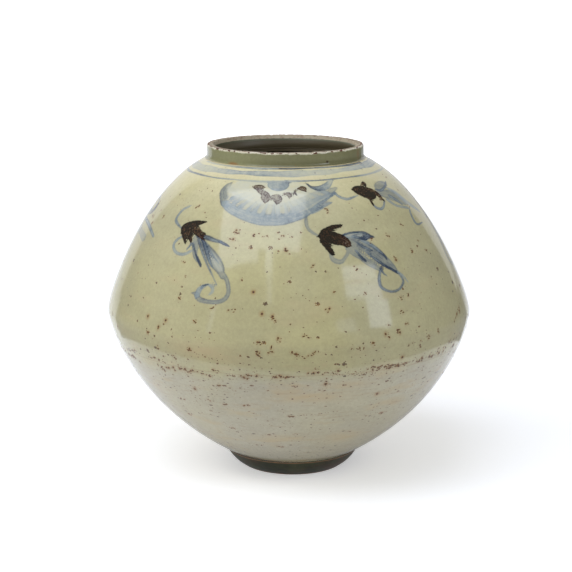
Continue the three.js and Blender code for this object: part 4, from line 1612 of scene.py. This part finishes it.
def pit_mesh(rows, form, wall, rng):
    """The pits' places as points of a mesh, with what each instance needs."""
    angle, height, radius = np.radians(rows[:, 0]), rows[:, 1] * MM, rows[:, 2] * MM
    around = wall.at("outer", height)
    slope = (wall.at("outer", height + MM) - wall.at("outer", height - MM)) / (2 * MM)
    out = np.column_stack((np.sin(angle), -np.cos(angle), -slope + form.lean * np.sin(angle)))
    out = out / np.linalg.norm(out, axis=1)[:, None]
    level = np.column_stack((np.cos(angle), np.sin(angle), np.zeros(len(angle))))
    crosswise = rng.random(len(rows)) < CROSSWISE_PITS
    turned = (rng.normal(0, 0.4, len(rows)) + crosswise * math.pi / 2)[:, None]
    along = level * np.cos(turned) + np.cross(out, level) * np.sin(turned)
    aside = around * np.sin(angle) - form.lean * (height - form.belly_height)
    spots = np.column_stack((aside, -around * np.cos(angle), height))
    mesh = bpy.data.meshes.new("pit_places")
    mesh.from_pydata(spots.tolist(), [], [])
    give(mesh, "facing", out)
    give(mesh, "around", along)
    give(mesh, "radius", radius)
    give(mesh, "stretch", 1 + 2 * rng.random(len(rows)) ** 1.6 * (radius < 1 * MM))
    shapes = mesh.attributes.new("shape", "INT", "POINT")
    shapes.data.foreach_set("value", rng.integers(0, PIT_SHAPES, len(rows)).astype(np.int32))
    return mesh


def settle(points, surfaces):
    """Moves the pits' places onto the nearest thrown surface."""
    graph = bpy.context.evaluated_depsgraph_get()
    trees = [BVHTree.FromObject(surface, graph) for surface in surfaces]
    for vertex in points.vertices:
        found = [tree.find_nearest(vertex.co) for tree in trees]
        vertex.co = min(found, key=lambda hit: hit[3])[0]


# How far rust bleeds and is looked for, in radii of the pit, and the radius of a pit that bleeds fully
RUST_REACH = 1.35
RUST_SEARCH = 3.2
FULL_RUST = 0.9 * MM


def rust_round(piece, spots, radii):
    """Stores on each point of a piece how much rust the pits near it have bled."""
    tree = KDTree(len(spots))
    for index, spot in enumerate(spots):
        tree.insert(spot, index)
    tree.balance()
    rust = np.zeros(len(piece.data.vertices), np.float32)
    widest = RUST_SEARCH * radii.max()
    for vertex in piece.data.vertices:
        level = 0.0
        for _, index, distance in tree.find_range(vertex.co, widest):
            away = distance / (RUST_REACH * radii[index])
            level = max(level, math.exp(-(away**2)) * radii[index])
        rust[vertex.index] = min(1.0, level / FULL_RUST)
    give(piece.data, "rust", rust)


def stain(piece, wall, form):
    """Stores on each point of a bowl how warm the stains make its glaze."""
    places = Places(piece.data, wall, form)
    level = np.zeros(len(places.angle))
    for angle, height, across, tall, strength in STAINS:
        away = ((places.angle - angle) / across) ** 2 + ((places.height / MM - height) / tall) ** 2
        level = np.maximum(level, strength * np.exp(-away))
    give(piece.data, "stain", level)


# Operators

class JAR_OT_turn_foot(bpy.types.Operator):
    """Turn the foot ring"""

    bl_idname = "jar.turn_foot"
    bl_label = "Turn Foot"

    def execute(self, context):
        piece = thrown("turned_foot", foot_profile(context.scene.jar_form), "dark foot glaze")
        dress(piece, "dark_foot_glaze", "foot_ring")
        return {"FINISHED"}


class JAR_OT_throw_bowls(bpy.types.Operator):
    """Throw the two bowls and paint the upper one"""

    bl_idname = "jar.throw_bowls"
    bl_label = "Throw Bowls"

    def execute(self, context):
        form = context.scene.jar_form
        wall = Wall(form)
        lower = thrown("base_bowl", lower_bowl_profile(form, wall), "pale body glaze", closed=False)
        dress(lower, "pale_body_glaze", "lower_bowl")
        upper = thrown("shoulder_bowl", upper_bowl_profile(form, wall), "olive body glaze")
        paint(upper.data, wall, form)
        dress(upper, "olive_body_glaze", "upper_bowl")
        return {"FINISHED"}


class JAR_OT_lay_slip(bpy.types.Operator):
    """Lay the slip in the three joints"""

    bl_idname = "jar.lay_slip"
    bl_label = "Lay Slip"

    def execute(self, context):
        form = context.scene.jar_form
        wall = Wall(form)
        foot_radii = ((form.foot_seat, form.foot_seat), (BASE_RADIUS, BASE_RADIUS))
        collar_radii = ((form.mouth_radius, form.mouth_radius), (SEAT_RADIUS, SEAT_RADIUS))
        rim_radii = tuple(
            (wall.at(face, RIM_BELOW), wall.at(face, RIM_ABOVE)) for face in ("inner", "outer")
        )
        layers = (
            ("slip_at_foot", "foot_joint_slip", FOOT_TOP, UNDERSIDE, foot_radii,
             (form.score_width, FOOT_SCORE, 2), "slip at the foot"),
            ("slip_at_rims", "belly_joint_slip", RIM_BELOW, RIM_ABOVE, rim_radii,
             (form.tongue_width, RIM_TONGUE, 1), "slip in the body"),
            ("slip_at_collar", "collar_joint_slip", SHOULDER, COLLAR_BASE, collar_radii,
             (form.score_width, COLLAR_SCORE, 2), "slip in the body"),
        )
        for name, node, low, high, (inner, outer), ridges, material in layers:
            profile = slip_profile(form, low, high, inner, outer, *ridges)
            dress(thrown(name, profile, material), "bare_slip", node)
        return {"FINISHED"}


class JAR_OT_throw_collar(bpy.types.Operator):
    """Throw the collar and mark its lip"""

    bl_idname = "jar.throw_collar"
    bl_label = "Throw Collar"

    def execute(self, context):
        form = context.scene.jar_form
        worn_from = LIP - 4 * MM
        piece = thrown("neck", collar_profile(form), "olive collar glaze", worn_from=worn_from)
        mark_collar(piece.data, form)
        dress(piece, "olive_collar_glaze", "collar")
        return {"FINISHED"}


# Marks on the collar's outside: angle, height in mm, reach round it and up in mm, strength
FIRED_SPOTS = ((31, 314.5, 1.1, 1.1, 0.95),)
COLLAR_STAINS = ((-40, 311.8, 5, 1.4, 0.7), (66, 318, 3, 4, 0.35))
# A mark fades over one reach, and is gone at this many reaches from its middle
BLOT_EDGE = 1.6


def mark_collar(mesh, form):
    """Stores the way over the lip in mm, the fired spot and the rusty stains."""
    places = Places(mesh, Wall(form), form)
    collar_radius = form.mouth_radius + form.collar_wall
    over = collar_radius - form.lip_rounding - places.radius
    drop = LIP - places.height
    outside = places.radius > form.mouth_radius + form.collar_wall / 2
    front = outside & (over < 0)
    give(mesh, "lip", np.where(front, over - drop, over + drop) / MM)
    around = np.radians(places.angle) * places.radius / MM
    for name, marks in (("spot", FIRED_SPOTS), ("stain", COLLAR_STAINS)):
        level = np.zeros(len(around))
        for angle, height, across, tall, strength in marks:
            middle = math.radians(angle) * collar_radius / MM
            away = np.hypot((around - middle) / across, (places.height / MM - height) / tall)
            level += np.where(front, np.clip(BLOT_EDGE - away, 0, 1), 0) * strength
        give(mesh, name, level)


class JAR_OT_burst_pits(bpy.types.Operator):
    """Burst the bubbles of the glaze"""

    bl_idname = "jar.burst_pits"
    bl_label = "Burst Pits"

    def execute(self, context):
        form = context.scene.jar_form
        pits = context.scene.jar_pits
        wall = Wall(form)
        rng = np.random.default_rng(pits.seed + 1)
        rows = pit_places(pits, wall)
        points = pit_mesh(rows, form, wall, rng)
        bowls = [bpy.data.objects[name] for name in ("base_bowl", "shoulder_bowl")]
        settle(points, bowls)
        spots = [tuple(vertex.co) for vertex in points.vertices]
        shapes = bpy.data.collections.new("pit_shapes")
        for number in range(PIT_SHAPES):
            shapes.objects.link(pit_shape(f"pit_shape_{number}", rng))
        values = {"Shapes": shapes, "Material": material_named("burst bubble")}
        piece = worked("burst_bubbles", points, pitting_tree(), values)
        piece.data.shade_smooth()
        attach(piece, "root")
        for bowl in bowls:
            rust_round(bowl, spots, rows[:, 2] * MM)
            stain(bowl, wall, form)
        for shape in list(shapes.objects):
            bpy.data.objects.remove(shape)
        bpy.data.collections.remove(shapes)
        return {"FINISHED"}


class JAR_OT_set_stage(bpy.types.Operator):
    """Set the floor, the room light, the soft boxes and the camera"""

    bl_idname = "jar.set_stage"
    bl_label = "Set Stage"

    def execute(self, context):
        studio = context.scene.jar_studio
        lay_floor(studio)
        light_room(context.scene, studio)
        for light in LIGHTS:
            hang_light(*light)
        set_camera(context.scene, studio)
        context.scene.view_settings.view_transform = "Standard"
        return {"FINISHED"}


# Stage

# Lights: direction round the jar and above it in degrees, distance, place in the plane that faces the
# jar there (across, up), width, height, turn, radiance, and whether the glaze mirrors it
LIGHTS = (
    ("overhead", -33, 56, 1.96, -0.06, 0.42, 1.78, 1.38, 20, 2.35, True),
    ("overhead_corner", -33, 56, 1.96, -0.16, -0.43, 0.74, 0.13, 20, 2.35, True),
    ("middle_strip", -15, 33, 1.96, -0.01, 0.46, 0.15, 0.33, 6, 2.4, True),
    ("middle_strip_low", -15, 33, 1.96, 0.05, 0.12, 0.1, 0.34, 6, 1.3, True),
    ("left_strip", -49.4, 20, 1.96, 0.01, -0.01, 0.085, 0.48, 0, 1.3, True),
    ("window_top", 57, 29, 1.96, -0.025, 0.258, 0.76, 0.17, -17, 2.7, True),
    ("window_middle", 57, 29, 1.96, -0.081, 0.084, 0.79, 0.16, -16, 2.7, True),
    ("window_bottom", 57, 29, 1.96, 0.08, -0.255, 0.5, 0.39, -13, 2.6, True),
    ("window_low", 57, 29, 1.96, -0.7, -0.216, 0.43, 0.22, -13, 1.1, True),
    ("key_fill", -78, 28, 3.0, 0, 0, 2.6, 2.2, 0, 1.9, False),
    ("front_fill", -18, 12, 3.2, 0, 0, 3.2, 2.2, 0, 1.35, False),
    ("right_fill", 72, 14, 3.2, 0, 0, 2.6, 2.2, 0, 1.4, False),
)
WINDOW_TINT = (0.76, 0.83, 1.0)
PLAIN_LIGHT = (1, 1, 1)
PLAIN_ROOM = (0.97, 0.97, 0.97, 1)
WHITE = (1, 1, 1, 1)
FLOOR_SHEEN = (0.9, 0.95, 1, 1)
# The height on the jar that the soft boxes face
AIM_HEIGHT = 160 * MM
# Watts of a soft box for each unit of its radiance and each square metre
WATTS = 4
FLOOR_SIDES = 128
SENSOR_WIDTH = 36
CAMERA_REACH = 100


def lay_floor(studio):
    """A round floor with a white turntable top marked on it."""
    radius = studio.floor_radius
    angles = np.arange(FLOOR_SIDES) * math.tau / FLOOR_SIDES
    edge = [(radius * math.cos(angle), radius * math.sin(angle), 0) for angle in angles]
    faces = [(side, (side + 1) % FLOOR_SIDES, FLOOR_SIDES) for side in range(FLOOR_SIDES)]
    mesh = bpy.data.meshes.new("floor")
    mesh.from_pydata([*edge, (0, 0, 0)], [], faces)
    mesh.materials.append(floor_material(studio))
    floor = placed("floor", mesh)


def floor_material(studio):
    """A floor that the camera sees as white, with the white paper and table that the glaze mirrors."""
    material, bench = emptied(bpy.data.materials.new("floor"))
    x, y, _ = bench.parts(object_place(bench))
    rays = bench.node("ShaderNodeLightPath").outputs
    back = bench.less(y, studio.table_back)
    away = bench.maths("SQRT", bench.total(bench.product(x, x), bench.product(back, back)))
    table = bench.between(away, studio.table_radius + 4 * MM, studio.table_radius)
    beyond = bench.total(y, studio.paper_from)
    white = bench.most(table, behind_jar(bench, x, beyond, studio.floor_left, studio.floor_right))
    seen_white = bench.most(white, rays["Is Camera Ray"])
    colour = bench.blended(seen_white, studio.floor_colour, studio.table_colour)
    # It brightens with distance for the camera; in the glaze it is dim by the jar, a painted shadow, and
    # far off to +X
    camera_glow = bench.product(rays["Is Camera Ray"], bench.between(away, 0.5, 3.0, 0.34, 1.0))
    clear = bench.between(away, 0.12, 0.32, 0.1, 1.0)
    far = bench.between(away, 0.6, 3.0, 0.48, bench.between(x, -0.4, 0.8, 0.6, 0.1))
    mirrored_glow = bench.product(rays["Is Glossy Ray"], white, clear, far)
    matt = bench.made("ShaderNodeBsdfDiffuse", {"Color": colour})
    glow = bench.made("ShaderNodeEmission", {"Strength": camera_glow})
    sheen = bench.made("ShaderNodeEmission", {"Color": FLOOR_SHEEN, "Strength": mirrored_glow})
    glows = bench.made("ShaderNodeAddShader", {0: glow, 1: sheen})
    surface = bench.made("ShaderNodeAddShader", {0: matt, 1: glows})
    bench.node("ShaderNodeOutputMaterial", {"Surface": surface})
    return material


def behind_jar(bench, x, y, left, right):
    """Where the white paper is that runs away behind the jar, by the bearing from it."""
    bearing = bench.maths("ARCTAN2", x, y)
    soft = math.radians(1.5)
    on_left = bench.between(bearing, -left - soft, -left)
    return bench.product(on_left, bench.between(bearing, right + soft, right))


def light_room(scene, studio):
    """A plain room, brighter on the wall behind the jar, and white where the camera looks at it."""
    world, bench = emptied(bpy.data.worlds.new("Room"))
    x, y, _ = bench.parts(bench.node("ShaderNodeTexCoord").outputs["Generated"])
    room = bench.between(x, -0.7, 0.7, studio.room_left, studio.room_right)
    wall = bench.between(x, -0.3, 0.4, studio.backdrop_left, studio.backdrop_right)
    paper = behind_jar(bench, x, y, studio.wall_left, studio.wall_right)
    level = bench.between(paper, 0, 1, room, wall)
    camera_ray = bench.node("ShaderNodeLightPath").outputs["Is Camera Ray"]
    strength = bench.between(camera_ray, 0, 1, level, 1.0, smooth=False)
    tint = bench.blended(camera_ray, PLAIN_ROOM, WHITE)
    sky = bench.made("ShaderNodeBackground", {"Color": tint, "Strength": strength})
    bench.node("ShaderNodeOutputWorld", {"Surface": sky})
    scene.world = world


def hang_light(name, bearing, elevation, distance, across, up, width, height, turned, radiance, mirrored):
    """A soft box that faces the jar; its energy follows from its radiance and its area."""
    bearing, elevation = math.radians(bearing), math.radians(elevation)
    level = math.cos(elevation)
    direction = Vector((math.sin(bearing) * level, -math.cos(bearing) * level, math.sin(elevation)))
    facing = direction.to_track_quat("Z", "Y")
    light = bpy.data.lights.new(name, "AREA")
    light.shape = "RECTANGLE"
    light.size = width
    light.size_y = height
    light.energy = WATTS * radiance * width * height
    light.color = WINDOW_TINT if mirrored else PLAIN_LIGHT
    box = placed(name, light)
    box.visible_glossy = mirrored
    box.visible_camera = False
    box.location = Vector((0, 0, AIM_HEIGHT)) + facing @ Vector((across, up, distance))
    box.rotation_euler = (facing @ Euler((0, 0, math.radians(turned))).to_quaternion()).to_euler()


def set_camera(scene, studio):
    """The camera of the photograph: level sideways and looking a little down."""
    camera = bpy.data.cameras.new("camera")
    camera.lens = studio.lens
    camera.sensor_width = SENSOR_WIDTH
    camera.clip_end = CAMERA_REACH
    stand = placed("camera", camera)
    stand.location = (studio.camera_side, -studio.camera_distance, studio.camera_height)
    stand.rotation_euler = (math.pi / 2 - studio.camera_tilt, 0, 0)
    scene.camera = stand


# Registration

STEPS = (
    JAR_OT_turn_foot,
    JAR_OT_throw_bowls,
    JAR_OT_lay_slip,
    JAR_OT_throw_collar,
    JAR_OT_burst_pits,
    JAR_OT_set_stage,
)


class JAR_PT_steps(bpy.types.Panel):
    """The steps of making the jar, in order"""

    bl_idname = "JAR_PT_steps"
    bl_label = "Luted Jar"
    bl_space_type = "VIEW_3D"
    bl_region_type = "UI"
    bl_category = "Jar"

    def draw(self, context):
        for step in STEPS:
            self.layout.operator(step.bl_idname)
        for name in GROUPS:
            column = self.layout.column(heading=name)
            settings = getattr(context.scene, name)
            for key in settings.bl_rna.properties.keys():
                if key not in ("rna_type", "name"):
                    column.prop(settings, key)


GROUPS = {
    "jar_form": JarForm,
    "jar_glaze": JarGlaze,
    "jar_brush": JarBrush,
    "jar_pits": JarPits,
    "jar_studio": JarStudio,
}


def register():
    for kind in (*GROUPS.values(), *STEPS, JAR_PT_steps):
        bpy.utils.register_class(kind)
    for name, kind in GROUPS.items():
        setattr(bpy.types.Scene, name, bpy.props.PointerProperty(type=kind))


def unregister():
    for name in GROUPS:
        delattr(bpy.types.Scene, name)
    for kind in reversed((*GROUPS.values(), *STEPS, JAR_PT_steps)):
        bpy.utils.unregister_class(kind)


def main():
    """Makes the jar and its stage."""
    register()
    bpy.ops.jar.turn_foot()
    bpy.ops.jar.throw_bowls()
    bpy.ops.jar.lay_slip()
    bpy.ops.jar.throw_collar()
    bpy.ops.jar.burst_pits()
    bpy.ops.jar.set_stage()


if __name__ == "__main__":
    main()
